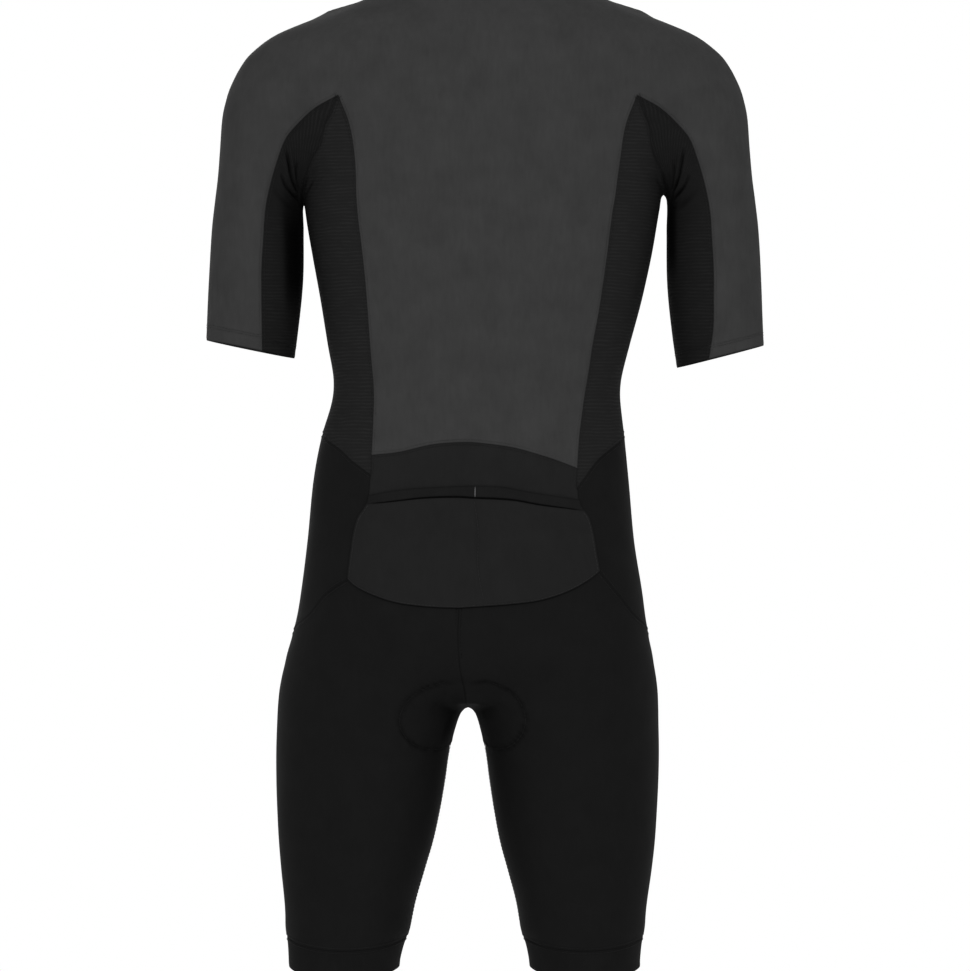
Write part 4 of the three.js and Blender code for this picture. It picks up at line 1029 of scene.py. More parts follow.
def area_of(points, quads):
    """Area of quads: half the length of the cross product of their diagonals, added up."""
    a, b, c, d = points[quads].swapaxes(0, 1)
    return np.linalg.norm(np.cross(c - a, d - b), axis=1).sum() / 2


def longest(grids, axis):
    """The longest row (axis 1) or column (axis 0) of the nets, along their points."""
    return max(np.linalg.norm(np.diff(g, axis=axis), axis=-1).sum(axis).max() for g in grids)


CUT_AREAS = {}
SEAM_LAP = 0.1


def sew(node, grids, slot, lift=0.0, relief=None, cut=None, ink=None):
    """A finished piece of cloth that stands for its node of the model.

    Out along the normal go: the lift; a roll at the edge, 0.16 mm up round 2.6 mm in and 0.14 mm
    down at the rim; the folds and the drift, which fade out within 3 mm of the rim; and a relief
    of the piece's own. The piece's own painted shade is added to the painted shade of the creases.
    The cut is measured on the nets where none is given."""
    points, net_quads = numbered(grids)
    normals = unit(slope(points))
    quads = [face_out(points, normals, q) for q in net_quads]
    uv = []
    for grid_map, plain, turned in zip(cloth_maps(grids), net_quads, quads):
        corners = np.stack(
            [grid_map[:-1, :-1], grid_map[1:, :-1], grid_map[1:, 1:], grid_map[:-1, 1:]], 2
        ).reshape(-1, 4, 2)
        uv.append(corners if turned is plain else corners[:, ::-1])
    uv, quads = np.concatenate(uv) * MM, np.concatenate(quads)
    area = area_of(points, quads) * MM * MM
    start, end = rim_of(quads, len(points))
    rim = rim_distance(points, start, end)

    along = unit(points[end] - points[start])
    inward = np.zeros_like(points)
    np.add.at(inward, start, unit(np.cross(normals[start], along)))
    np.add.at(inward, end, unit(np.cross(normals[end], along)))
    moved = points - SEAM_LAP * unit(inward) * (np.linalg.norm(inward, axis=1) > 0)[:, None]

    roll, soft = 0.16 * bell(rim - 2.6, 2.0) - 0.14 * bell(rim, 0.9), 1 - bell(rim, 3.0)
    fold, dark = folds(points)
    out = lift + roll + soft * (fold + drift(points))
    if relief is not None:
        out = out + relief(points, rim)
    # painted shade: that of the creases and the piece's own, kept in the deep map that darkens the
    # colour
    dark = dark if ink is None else np.maximum(dark, ink(points))
    piece = make_mesh(node + "_cloth", moved + out[:, None] * normals, quads.tolist(), uv)
    for attribute, values in (("edge", rim), ("deep", dark)):
        store = piece.data.attributes.new(attribute, "FLOAT", "POINT")
        store.data.foreach_set("value", values.astype(np.float32))
    wall = piece.modifiers.new("wall", "SOLIDIFY")
    wall.thickness, wall.offset, wall.use_even_offset = CLOTH * MM, -1, False
    enter(piece, slot, node)
    flat = cut or (float(longest(grids, 1) * MM), float(longest(grids, 0) * MM))
    CUT_AREAS[node] = area
    print(f"{node}: {len(quads)} cells, cut {flat[0]:.3f} x {flat[1]:.3f} m, {area:.4f} m2")
    return piece


# %% [markdown]
# ## The pieces
#
# The grey back runs over the shoulders in one piece with both sleeves, down to the seams on the
# chest. This is why no seam shows on the shoulders in the photograph. Ribbed black pieces fill
# the armpits and the sides. The lower back, with a pocket on it, joins the grey to the shorts.

# %% Back, sleeves and fronts
back_net = net(YOKE_LINE, GREY_HEM, LEFT.back_edge, RIGHT.back_edge)
yoke_net = net(
    YOKE_LINE, joined(LEFT.raglan, NECK_BACK, RIGHT.raglan[::-1]), LEFT.shoulder,
    RIGHT.shoulder, pull=SEAM_PULL,
)
sleeve_nets = [
    net(s.shoulder, s.hem_over, s.sleeve_back, s.sleeve_front, puff=45 * s.outward)
    for s in (LEFT, RIGHT)
]
# Laid flat with the sleeves 60 degrees below level: 0.28 m of back, twice 0.37 m of sleeve and
# its 0.17 m cuff, both as far as they reach sideways; 0.36 m of back and 0.30 m over the shoulder.
back = sew(
    "back_and_sleeves", [back_net, yoke_net, *sleeve_nets], "grey_knit", cut=(0.80, 0.66)
)
fronts = [
    sew(
        f"front_{side}",
        [net(joined(s.raglan, s.neck_front), s.waist[::-1], s.front_edge, s.zip_edge)],
        "grey_knit",
    )
    for side, s in SIDES.items()
]

# %% Ribbed pieces under the arms and down the sides
# The under-sleeves get painted shade where they face the trunk.
under_sleeves = [
    sew(
        f"undersleeve_{side}",
        [tube_net(s.armhole, s.hem_under, s.sleeve_back, s.sleeve_front, s.arm_centre, s.inward,
                  finer=2)],
        "black_mesh", ink=lambda p: shaded(p, ARM_SHADE),
    )
    for side, s in SIDES.items()
]
sides = [
    sew(
        f"side_{side}",
        [tube_net(s.armhole, s.side_bottom, joined(s.back_edge, s.back_edge_low), s.front_edge,
                  s.trunk_centre, s.outward, finer=2)],
        "black_mesh",
    )
    for side, s in SIDES.items()
]

# %% Shorts and leg grippers
hips = [
    sew(
        f"hip_{side}",
        [tube_net(s.waist_to_centre, s.hip_bottom,
                  joined(s.pocket_top, s.pocket_band, s.pocket_side), s.centre_front,
                  s.trunk_centre, s.outward)],
        "black_shorts",
    )
    for side, s in SIDES.items()
]


def squeezed(points):
    """The tighter gripper holds the cloth in by half a millimetre, and it bulges above that."""
    above = points[:, 2] - GRIPPER_TOP
    return 0.6 * bell(above - 9, 9) - 0.5 * bell(above, 3)


legs, grippers = [], []
LEG_ROWS = np.append(
    np.arange(0, DOWN_SEAT, FINE_SEAT), np.arange(DOWN_SEAT, DOWN_SEAT + DOWN_THIGH + 1, FINE_DOWN)
)
for side, s in SIDES.items():
    thigh_ring = s.leg_ring(GRIPPER_TOP)
    leg_net = tube_net(
        joined(s.pocket_bottom[::-1], s.hip_bottom), thigh_ring, joined(s.seat, s.inseam),
        joined(s.fly, s.inseam), s.leg_centre, s.outward, rows=LEG_ROWS,
    )
    # The legs get painted shade in the pad rim's groove and at the crotch.
    legs.append(sew(f"leg_{side}", [leg_net], "black_shorts",
                    relief=lambda p, rim: welt(p) + squeezed(p),
                    ink=lambda p: np.maximum(welt_ink(p), shaded(p, CROTCH_SHADE))))
    hem_ring = s.leg_ring(LEG_HEM)
    part = np.linspace(0, 1, 14)[:, None, None]
    band = settle((1 - part) * thigh_ring + part * hem_ring)
    grippers.append(sew(
        f"gripper_{side}", [band], "black_gripper",
        relief=lambda p, rim: -0.25 + 0.25 * bell(rim, 1.5),
    ))

# %% Lower back, pocket and its band
POCKET_MIDDLE = 7.0


def lower_edge(s):
    """One side of the lower back, from the grey hem down to the pocket's foot."""
    return joined(s.back_edge_low, s.pocket_top, s.pocket_band, s.pocket_side)


def centre_stitch(points, rim):
    """The pocket is caught down its middle: a narrow groove 0.7 mm deep, and the two bags
    either side stand 0.9 mm fuller."""
    middle = points[:, 0] - POCKET_MIDDLE
    full = 0.9 * (1 - bell(middle, 14)) * (1 - bell(rim, 16))
    return full - 0.7 * bell(middle, 1.8) * (1 - bell(rim, 4))


lower_back = sew(
    "lower_back", [net(GREY_HEM, POCKET_HEM, lower_edge(LEFT), lower_edge(RIGHT))], "black_pocket"
)
ON_TOP = CLOTH + LAYER_GAP
pocket = sew(
    "pocket", [net(MOUTH_LINE, POCKET_HEM, LEFT.pocket_side, RIGHT.pocket_side, finer=2)],
    "black_pocket", lift=ON_TOP, relief=centre_stitch,
)
pocket_band = sew(
    "pocket_band", [net(BAND_LINE, MOUTH_LINE, LEFT.pocket_band, RIGHT.pocket_band, finer=2)],
    "black_gripper", lift=ON_TOP,
)

# %% Neckband and zip tape
def neck_turns(height):
    """A ring of the neckband at a height, from one side of the zip round to the other."""
    stops = [-ZIP_AT_NECK, RAGLAN_TOP, 180 - RAGLAN_TOP, 180 + ZIP_AT_NECK]
    counts = [ACROSS_NECK_FRONT, ACROSS_NECK_BACK, ACROSS_NECK_FRONT]
    return joined(*(neck_arc(height, *part) for part in zip(stops[:-1], stops[1:], counts)))


collar_rings = [neck_turns(h) for h in np.linspace(COLLAR_HEIGHT, 0, 13)]
collar_rings[-1] = NECK_SEAM
neck_band = sew("neck_band", [np.array(collar_rings)], "grey_knit")

zip_left = np.vstack([[ring[0] for ring in collar_rings[:-1]], LEFT.zip_edge])
zip_right = np.vstack([[ring[-1] for ring in collar_rings[:-1]], RIGHT.zip_edge])
part = np.linspace(0, 1, 9)[None, :, None]
zip_grid = settle((1 - part) * zip_left[:, None] + part * zip_right[:, None])
zip_tape = sew("zip_tape", [zip_grid], "zip_coil")
ZIP_LINE = zip_grid[:, 4]
print("zip", round(np.linalg.norm(np.diff(ZIP_LINE, axis=0), axis=1).sum()), "mm long")

# %% [markdown]
# ## The seat pad
#
# The pad is a firm foam sheet sewn inside the seat, thickest along its middle. It is closed all
# round: an outer face just inside the shorts, and an inner face that bulges towards the wearer.

# %% Pad
PAD_GAP, PAD_MIDDLE, PAD_RIM = 0.6, 8.0, 4.0


def pad_half(s):
    """A net from the pad's middle line to its rim on one side."""
    top, bottom = (
        np.linspace(0, 1, 19)[:, None] * (s.pad_rim[end] - s.pad_middle[end]) + s.pad_middle[end]
        for end in (0, -1)
    )
    u, v = np.linspace(0, 1, 19), np.linspace(0, 1, PAD_STEPS + 1)
    grid = settle(patch(top, bottom, s.pad_middle, s.pad_rim, u, v, 1))
    return framed(grid, settle(top), settle(bottom), settle(s.pad_middle), settle(s.pad_rim))


pad_nets = [pad_half(LEFT), pad_half(RIGHT)]
pad_points, pad_quads = numbered(pad_nets)
pad_normals = unit(slope(pad_points))
pad_quads = np.concatenate([face_out(pad_points, pad_normals, q) for q in pad_quads])
pad_start, pad_end = rim_of(pad_quads, len(pad_points))
pad_edge = rim_distance(pad_points, pad_start, pad_end)
# two pressed channels follow the rim, 16 and 30 mm in, and the foam rises over the first 9 mm
channel, crown = bell(pad_edge - 16, 1.6) + bell(pad_edge - 30, 1.6), 1 - bell(pad_edge, 9)
pad_depth = PAD_RIM - 1.6 + (PAD_MIDDLE - PAD_RIM + 1.0) * crown - 1.3 * channel * crown
pad_outer = pad_points - (CLOTH + PAD_GAP) * pad_normals
pad_inner = pad_outer - pad_depth[:, None] * pad_normals
count = len(pad_points)
rim_quads = np.stack([pad_end, pad_start, pad_start + count, pad_end + count], -1)
pad = make_mesh(
    "pad_foam_body", np.vstack([pad_outer, pad_inner]),
    np.vstack([pad_quads, pad_quads[:, ::-1] + count, rim_quads]).tolist(),
)
enter(pad, "pad_foam", "pad")
print("pad depth", pad_depth.min().round(1), "to", pad_depth.max().round(1), "mm")

# %% [markdown]
# ## Zip
#
# A coil zip is two rows of small bent teeth that grip each other along the middle of the tape.
# One tooth is modelled with few faces and copied to every step of the zip by arrays. The slider
# and its pull tab are plates with softened edges, joined by the bail that the tab swings under.

# %% Teeth
def frames_along(line, spacing, shift=0.0):
    """Places every spacing millimetres along a line, with unit ways along it, out of the skin
    and across it."""
    run = np.append(0, np.cumsum(np.linalg.norm(np.diff(line, axis=0), axis=1)))
    at = np.arange(shift + spacing / 2, run[-1] - spacing / 2, spacing)

    def read_at(lengths):
        return np.stack([np.interp(lengths, run, line[:, k]) for k in range(3)], -1)

    place = read_at(at)
    along, out = unit(read_at(at + 0.5) - read_at(at - 0.5)), unit(slope(place))
    return place, along, out, unit(np.cross(along, out))


def copies(name, template, faces, places, along, out, side):
    """One mesh of a small template, whose x, y and z follow side, along and out at each place."""
    axes = np.stack([side, along, out], 1)
    points = places[:, None] + np.einsum("vk,nkc->nvc", template, axes)
    every = faces[None] + len(template) * np.arange(len(places))[:, None, None]
    return make_mesh(name, points.reshape(-1, 3), every.reshape(-1, faces.shape[1]).tolist())


def ring_quads(rings, sides):
    """The quads between rings of as many points, one after another."""
    n = np.arange(rings * sides).reshape(rings, sides)
    m = np.roll(n, -1, 1)
    return n, np.stack([n[:-1], m[:-1], m[1:], n[1:]], -1).reshape(-1, 4)


def ring_tube(path, radius, sides=6):
    """A tube of round rings along a short flat path in x and z, closed by folding its ends in:
    the radius at each ring is radius times the square root of a sine."""
    path = np.asarray(path, float)
    t = np.linspace(0, 1, len(path))
    size = radius * np.sqrt(np.maximum(np.sin(np.pi * np.clip(t, 0.03, 0.97)), 0))
    turn = 2 * np.pi * np.arange(sides) / sides
    way = unit(np.gradient(path, axis=0))
    up = np.stack([-way[:, 2], 0 * t, way[:, 0]], -1)
    flat = np.array([0.0, 1, 0])
    rings = path[:, None] + size[:, None, None] * (
        np.cos(turn)[None, :, None] * flat + np.sin(turn)[None, :, None] * up[:, None]
    )
    return rings.reshape(-1, 3), ring_quads(len(path), sides)[1]


tooth_path = [(-2.4, 0, 0.2), (-1.2, 0, 0.75), (0.2, 0, 0.95), (0.9, 0, 0.55), (0.6, 0, 0.15)]
tooth, tooth_faces = ring_tube(tooth_path, 0.42)
TOOTH_STEP = 1.5
teeth = []
for hand, shift, name in ((1, 0.0, "zip_teeth_left"), (-1, TOOTH_STEP / 2, "zip_teeth_right")):
    place, along, out, side = frames_along(ZIP_LINE, TOOTH_STEP, shift)
    faces = tooth_faces if hand < 0 else tooth_faces[:, ::-1]
    row = copies(name, tooth * (hand, 1, 1), faces, place + 0.1 * out, along, out, side)
    teeth.append(enter(row, "zip_coil"))
print("teeth a row:", len(teeth[0].data.polygons) // len(tooth_faces))

# %% Slider and pull tab
zip_top = zip_grid[0, 4]
zip_up = unit(zip_top - neck_ring(0.0, -90.0))
zip_out = unit(np.cross(LEFTWARD, zip_up))
slider_place = settle(zip_top - SLIDER_FROM_TOP * zip_up)


def placed(points, tilt=0.0, out=0.0):
    """Points given across, up and out of the zip, tilted about the tab's bar, in the row frame."""
    x, y, z = np.moveaxis(np.asarray(points, float), -1, 0)
    y, z = y * np.cos(tilt) + z * np.sin(tilt), z * np.cos(tilt) - y * np.sin(tilt)
    return slider_place + x[..., None] * LEFTWARD + y[..., None] * zip_up + (
        z + out)[..., None] * zip_out


def prism(outline, low, high):
    """A closed plate between two levels, from its outline in x and y, and its faces."""
    outline = np.asarray(outline, float)
    n = len(outline)
    points = np.vstack([np.column_stack([outline, np.full(n, z)]) for z in (low, high)])
    i, j = np.arange(n), np.roll(np.arange(n), -1)
    walls = np.column_stack([i, j, j + n, i + n]).tolist()
    return points, [list(range(n - 1, -1, -1)), list(range(n, 2 * n)), *walls]


def metal(name, node, parts, tilt=0.0, out=0.0, body=SUIT, bevel=0.35):
    """One object from several closed plates, with rounded edges."""
    points, faces = [], []
    for part_points, part_faces in parts:
        start = sum(len(p) for p in points)
        points.append(part_points)
        faces += [[start + i for i in face] for face in part_faces]
    thing = make_mesh(name, placed(np.vstack(points), tilt, out), faces)
    rounding = thing.modifiers.new("rounding", "BEVEL")
    rounding.width, rounding.segments, rounding.limit_method = bevel * MM, 2, "ANGLE"
    return enter(thing, "zip_metal", node, body=body)


half, length, SLIDER_THICK = 4.2, 12.0, 2.4
body_outline = [
    (-half * 0.5, -length / 2), (half * 0.5, -length / 2), (half * 0.75, -length * 0.1),
    (half, length * 0.25), (half * 0.8, length / 2), (-half * 0.8, length / 2),
    (-half, length * 0.25), (-half * 0.75, -length * 0.1),
]
bail_outline = [
    (-3.75, -0.5), (-2.55, -0.5), (-2.55, 2.8), (2.55, 2.8), (2.55, -0.5), (3.75, -0.5),
    (3.75, 3.2), (2.95, 4.0), (-2.95, 4.0), (-3.75, 3.2),
]
bail_points, bail_faces = prism(bail_outline, -1.0, 1.0)
bail_points = bail_points[:, [2, 0, 1]] + (0, 0, LAYER_GAP + SLIDER_THICK)
slider_plate = prism(body_outline, LAYER_GAP, LAYER_GAP + SLIDER_THICK)
slider = metal("slider_body", "zip_slider", [slider_plate, (bail_points, bail_faces)])

# The tab is a grid of 15 cells with number 4 left out for its window, given a thickness.
tab_x = np.array([-3.2, -1.6, 1.6, 3.2])
tab_y = np.array([0.7, -0.7, -5.9, -12, -25, -27])
tab_grid = np.stack(np.meshgrid(tab_x, tab_y), -1)
tab_grid[-1, :, 0] *= 0.4
tab_flat = tab_grid.reshape(-1, 2)
number = np.arange(len(tab_flat)).reshape(tab_grid.shape[:2])
cells = np.stack([number[:-1, :-1], number[1:, :-1], number[1:, 1:], number[:-1, 1:]], -1)
cells = cells.reshape(-1, 4)[np.arange(15) != 4]
up = len(tab_flat)
tab_points = np.vstack([np.column_stack([tab_flat, np.full(up, z)]) for z in (-0.7, 0.7)])
rim_start, rim_end = rim_of(cells, up)
tab_faces = np.vstack([
    cells + up, cells[:, ::-1],
    np.stack([rim_end + up, rim_start + up, rim_start, rim_end], -1),
])
ridges = [prism([(-2.2, y - 0.35), (2.2, y - 0.35), (2.2, y + 0.35), (-2.2, y + 0.35)], 0.5, 1.0)
          for y in (-14.5, -16.5, -18.5, -20.5, -22.5)]
TAB_TILT, TAB_AXIS_OUT = np.radians(-1.3), 4.2
tab = metal(
    "pull_tab", "zip_pull", [(tab_points, tab_faces.tolist()), *ridges], tilt=TAB_TILT,
    out=TAB_AXIS_OUT, body=PULL, bevel=0.22,
)
print("slider at", slider_place.round(1), "mm")

# %% [markdown]
# ## Threads
#
# Stretch cloth is sewn with flatlock seams: the edges meet, and threads run beside them on both
# sides and cross over. At this size a thread is only a fine raised line, so each stitch is one
# small bent tube, copied along both sides of every seam.

# %% Stitches
stitch, stitch_faces = ring_tube(
    [(0, 0, -0.1), (0.5, 0, 0.16), (1.6, 0, 0.2), (2.7, 0, 0.16), (3.2, 0, -0.1)], 0.24, sides=4
)


def stitches(name, lines, spacing=3.6, lift=0.0, slot="black_shorts"):
    """Rows of stitches beside lines on the skin, each line with its offset to the side. A stitch
    starts half its length back, and stands 0.12 mm above the folded cloth."""
    rows = []
    for line, row in lines:
        place, along, out, side = frames_along(line, spacing)
        place = settle(place + row * side - 1.6 * along, 3)
        out = unit(slope(place))
        raise_by = folds(place)[0] + drift(place) + lift + 0.12
        rows.append([place + raise_by[:, None] * out, side, along, out])
    place, side, along, out = (np.concatenate(column) for column in zip(*rows))
    print(name, len(place), "stitches")
    # The template's x runs along the seam here, y to the side.
    return enter(copies(name, stitch, stitch_faces, place, side, out, along), slot)


# Rows are listed with the side of the line that they lie on, looking along it from outside:
# the grey side of a seam gets grey thread and the black side black.
ROW, HEM_ROW, HEM_ALLOWANCE = 2.4, 2.2, 12.0


def beside(lines, *offsets):
    """Every line with each of the offsets."""
    return [(line, offset) for offset in offsets for line in lines]


both_grey = [NECK_BACK, LEFT.raglan, RIGHT.raglan, LEFT.neck_front, RIGHT.neck_front]
grey_left = [LEFT.sleeve_back, RIGHT.back_edge, LEFT.front_edge, RIGHT.sleeve_front]
grey_right = [LEFT.back_edge, RIGHT.sleeve_back, LEFT.sleeve_front, RIGHT.front_edge, GREY_HEM]
both_black = [
    line for s in (LEFT, RIGHT) for line in (
        s.back_edge_low, s.armhole, s.side_bottom, s.waist, s.centre_front, s.hip_bottom, s.fly,
        s.seat, s.inseam, s.leg_ring(GRIPPER_TOP),
    )
]
grey_threads = stitches(
    "grey_threads",
    beside(both_grey, ROW, -ROW) + beside(grey_left, ROW) + beside(grey_right, -ROW),
    slot="grey_knit",
)
black_threads = stitches(
    "black_threads",
    beside(both_black, ROW, -ROW) + beside(grey_left, -ROW) + beside(grey_right, ROW),
)
over, under = (
    [settle(line + (0, 0, HEM_ALLOWANCE)) for line in lines]
    for lines in ((LEFT.hem_over, RIGHT.hem_over), (LEFT.hem_under, RIGHT.hem_under))
)
grey_hem_threads = stitches("grey_hem_threads", beside(over, 0.0, HEM_ROW), slot="grey_knit")
black_hem_threads = stitches("black_hem_threads", beside(under, 0.0, HEM_ROW))
CENTRE_ROW = seam(
    [seen_behind(np.array([10.4, 6.7, 6.6, 1.0]), np.array([-457, -484.5, -522.5, -553.0]))], 24
)
pad_threads = stitches("pad_threads", beside([LEFT.pad_rim, RIGHT.pad_rim], 0.0))
pocket_threads = stitches(
    "pocket_threads",
    [(LEFT.pocket_side, -2.2), (RIGHT.pocket_side, 2.2), (CENTRE_ROW, 0.0)], lift=ON_TOP,
    slot="black_pocket",
)
hem_row = stitches(
    "pocket_hem_threads", beside([POCKET_HEM], -1.1), spacing=3.4, lift=ON_TOP,
    slot="black_pocket",
)


def cord(name, line, radius, lift, slot):
    """A round cord along a line on the skin: rings of radius times cos and sin, in the plane of
    the sideways and outward directions. Its ends close as the root of a sine."""
    place, _, out, side = frames_along(line, 1.6)
    t = np.linspace(0, 1, len(place))
    size = radius * np.sqrt(np.sin(np.pi * np.clip(t, 0.004, 0.996)))[:, None, None]
    turn = 2 * np.pi * np.arange(8)[None, :, None] / 8
    rings = (place + lift * out)[:, None] + size * (
        np.cos(turn) * side[:, None] + np.sin(turn) * out[:, None])
    n, quads = ring_quads(len(place), 8)
    cap = np.array([[0, 1, 2, 3], [0, 3, 4, 7], [4, 5, 6, 7]])
    faces = np.vstack([quads, n[0][cap][:, ::-1], n[-1][cap]])
    return enter(make_mesh(name, rings.reshape(-1, 3), faces.tolist()), slot)


# The cord is the pocket mouth's rolled elastic edge; its near-black colour is painted shadow of
# the mouth's gap.
mouth_cord = cord("mouth_elastic_and_painted_shadow", MOUTH_LINE[2:-2], 0.85, ON_TOP + 0.25, "black_gripper")
bartack = cord(
    "bartack", seam([seen_behind(np.array([9.4, 9.5]), np.array([-442.5, -456.5]))], 8), 0.6,
    ON_TOP + 0.35, "grey_knit",
)

# %% [markdown]
# ## Finishes
#
# A material is a tree of small nodes. Written as sums it reads like the pattern it makes, so one
# class wraps a node's socket and gives it +, -, * and **. Patterns follow the cloth's own
# millimetres, or the object's height where the real ribs run level.

# %% Sums of sockets
class Socket:
    """A node's output. Arithmetic on it adds Math nodes to its finish."""

    def __init__(self, finish, socket):
        self.finish, self.socket = finish, socket

    def math(self, operation, *values):
        return self.finish.add("ShaderNodeMath", {"operation": operation},
                               dict(enumerate(values)))

    def __add__(self, other): return self.math("ADD", self, other)
    def __radd__(self, other): return self.math("ADD", other, self)
    def __sub__(self, other): return self.math("SUBTRACT", self, other)
    def __rsub__(self, other): return self.math("SUBTRACT", other, self)
    def __mul__(self, other): return self.math("MULTIPLY", self, other)
    def __rmul__(self, other): return self.math("MULTIPLY", other, self)
    def __pow__(self, other): return self.math("POWER", self, other)


class Finish:
    """A material with one Principled shader, and a method that adds any other node."""

    def __init__(self, name, **constants):
        self.material = bpy.data.materials.new(name)
        self.material.use_nodes = True
        self.tree = self.material.node_tree
        self.shader = self.tree.nodes["Principled BSDF"]
        for socket, value in constants.items():
            self.shader.inputs[socket.replace("_", " ")].default_value = value

    def add(self, kind, settings=None, inputs=None, output=0):
        """A node of a type, with its settings first and then the values or links of its
        sockets."""
        node = self.tree.nodes.new(kind)
        for key, value in (settings or {}).items():
            setattr(node, key, value)
        for key, value in (inputs or {}).items():
            if isinstance(value, Socket):
                self.tree.links.new(value.socket, node.inputs[key])
            else:
                node.inputs[key].default_value = value
        return Socket(self, node.outputs[output])

    def paint(self, **links):
        """Joins sockets of the shader to patterns."""
        for socket, value in links.items():
            self.tree.links.new(value.socket, self.shader.inputs[socket.replace("_", " ")])
        return self

    def cloth_place(self):
        """The cloth's own millimetres across and down."""
        spot = self.add("ShaderNodeUVMap", {"uv_map": "cloth"})
        parts = [self.add("ShaderNodeSeparateXYZ", None, {0: spot}, i) for i in (0, 1)]
        return [part * 1000 for part in parts]

    def object_place(self):
        """Object coordinates as a vector, in metres."""
        return self.add("ShaderNodeTexCoord", None, None, "Object")

    def object_mm(self, axis):
        """One of the Object coordinates, 0 to 2 for x to z, in millimetres."""
        return self.add("ShaderNodeSeparateXYZ", None, {0: self.object_place()}, axis) * 1000

    def noise(self, scale, detail=2.0, stretch=(1, 1, 1)):
        """Cloudy values around 0.5 on Object coordinates. Scale is waves in a metre."""
        place = self.add("ShaderNodeMapping", None, {"Vector": self.object_place(),
                                                     "Scale": stretch})
        return self.add("ShaderNodeTexNoise", None,
                        {"Vector": place, "Scale": scale, "Detail": detail})

    def step(self, value, start, end, low=0.0, high=1.0):
        """A soft step: low up to start, high from end on, and a smooth S between."""
        return self.add(
            "ShaderNodeMapRange", {"interpolation_type": "SMOOTHSTEP"},
            {"Value": value, "From Min": start, "From Max": end, "To Min": low, "To Max": high},
        )

    def wave(self, length, period):
        """0 to 1 and back in each period of a length: half of one plus the sine."""
        phase = length * (2 * np.pi / period)
        return 0.5 + 0.5 * phase.math("SINE", phase)

    def between(self, amount, low, high):
        """A colour or number mixed from two by an amount."""
        low, high = ((*c, 1) if isinstance(c, tuple) and len(c) == 3 else c for c in (low, high))
        return self.add("ShaderNodeMix", {"data_type": "RGBA"},
                        {"Factor": amount, 6: low, 7: high}, 2)

    def bump(self, height, distance, strength=1.0, below=None):
        """A Bump node for a height of 0 to 1 that stands distance metres tall."""
        links = {"Height": height, "Distance": distance, "Strength": strength}
        if below is not None:
            links["Normal"] = below
        return self.add("ShaderNodeBump", None, links)


def grey(value, warmth=0.0):
    """A near-neutral colour from one linear value."""
    return (value * (1 + warmth), value, value * (1 - warmth))


# %% [markdown]
# The grey cloth is a fine knit: rows of tiny V-shaped loops half a millimetre wide, with a faint
# mottle where the yarn is thicker. The ribbed mesh has level ridges about three millimetres
# apart that break up and waver, as elastic rows do. The shorts are a tighter, smoother knit.
# Every cloth gets a little painted shade along its edges, where a seam's threads pull it down,
# and more painted shade in its tight creases.

# %% Knits
def worn_edges(f):
    """Painted shade as a factor on the colour: from 0.8 at a piece's edge to 1 a little way in,
    and down to nought in a tight crease.
    """
    edge = f.add("ShaderNodeAttribute", {"attribute_name": "edge"}, None, "Fac")
    deep = f.add("ShaderNodeAttribute", {"attribute_name": "deep"}, None, "Fac")
    return f.step(edge, 0.0, 1.6, 0.8, 1.0) * (1 - deep)


CLOTH_SHINE = 0.08


def knit(name, colour, vary=0.10, wale=0.62, course=0.5, height=0.05, rough=0.82):
    """Loops: a wave across, whose sides lean up and down in turn, so that each wale is a column
    of Vs. The height is the product of the wave across and a slanted wave down."""
    f = Finish(name, Roughness=rough, Specular_IOR_Level=CLOTH_SHINE)
    u, v = f.cloth_place()
    lean = f.wave(u, wale)
    loops = f.wave(v + lean * (0.5 * course), course)
    yarn = lean ** 0.5 * (0.55 + 0.45 * loops)
    cloud = f.noise(38, 3.0)
    streak = f.noise(260, 2.0, (1, 1, 0.25))
    # painted shade along the piece's edges and in its tight creases
    seam_dark = worn_edges(f)
    amount = (0.5 + vary * 2.2 * (cloud - 0.5) + vary * 1.4 * (streak - 0.5)) * seam_dark
    amount = amount * (0.9 + 0.2 * yarn)
    f.paint(Base_Color=f.between(amount, (0, 0, 0), tuple(2 * c for c in colour)))
    big = f.bump(streak, 0.0002, 0.35)
    f.paint(Normal=f.bump(yarn, height * MM, 0.8, big))
    f.paint(Roughness=rough - 0.08 * cloud + 0.04)
    return f


FOLD_OUT, FOLD_HEIGHT = 176, -176


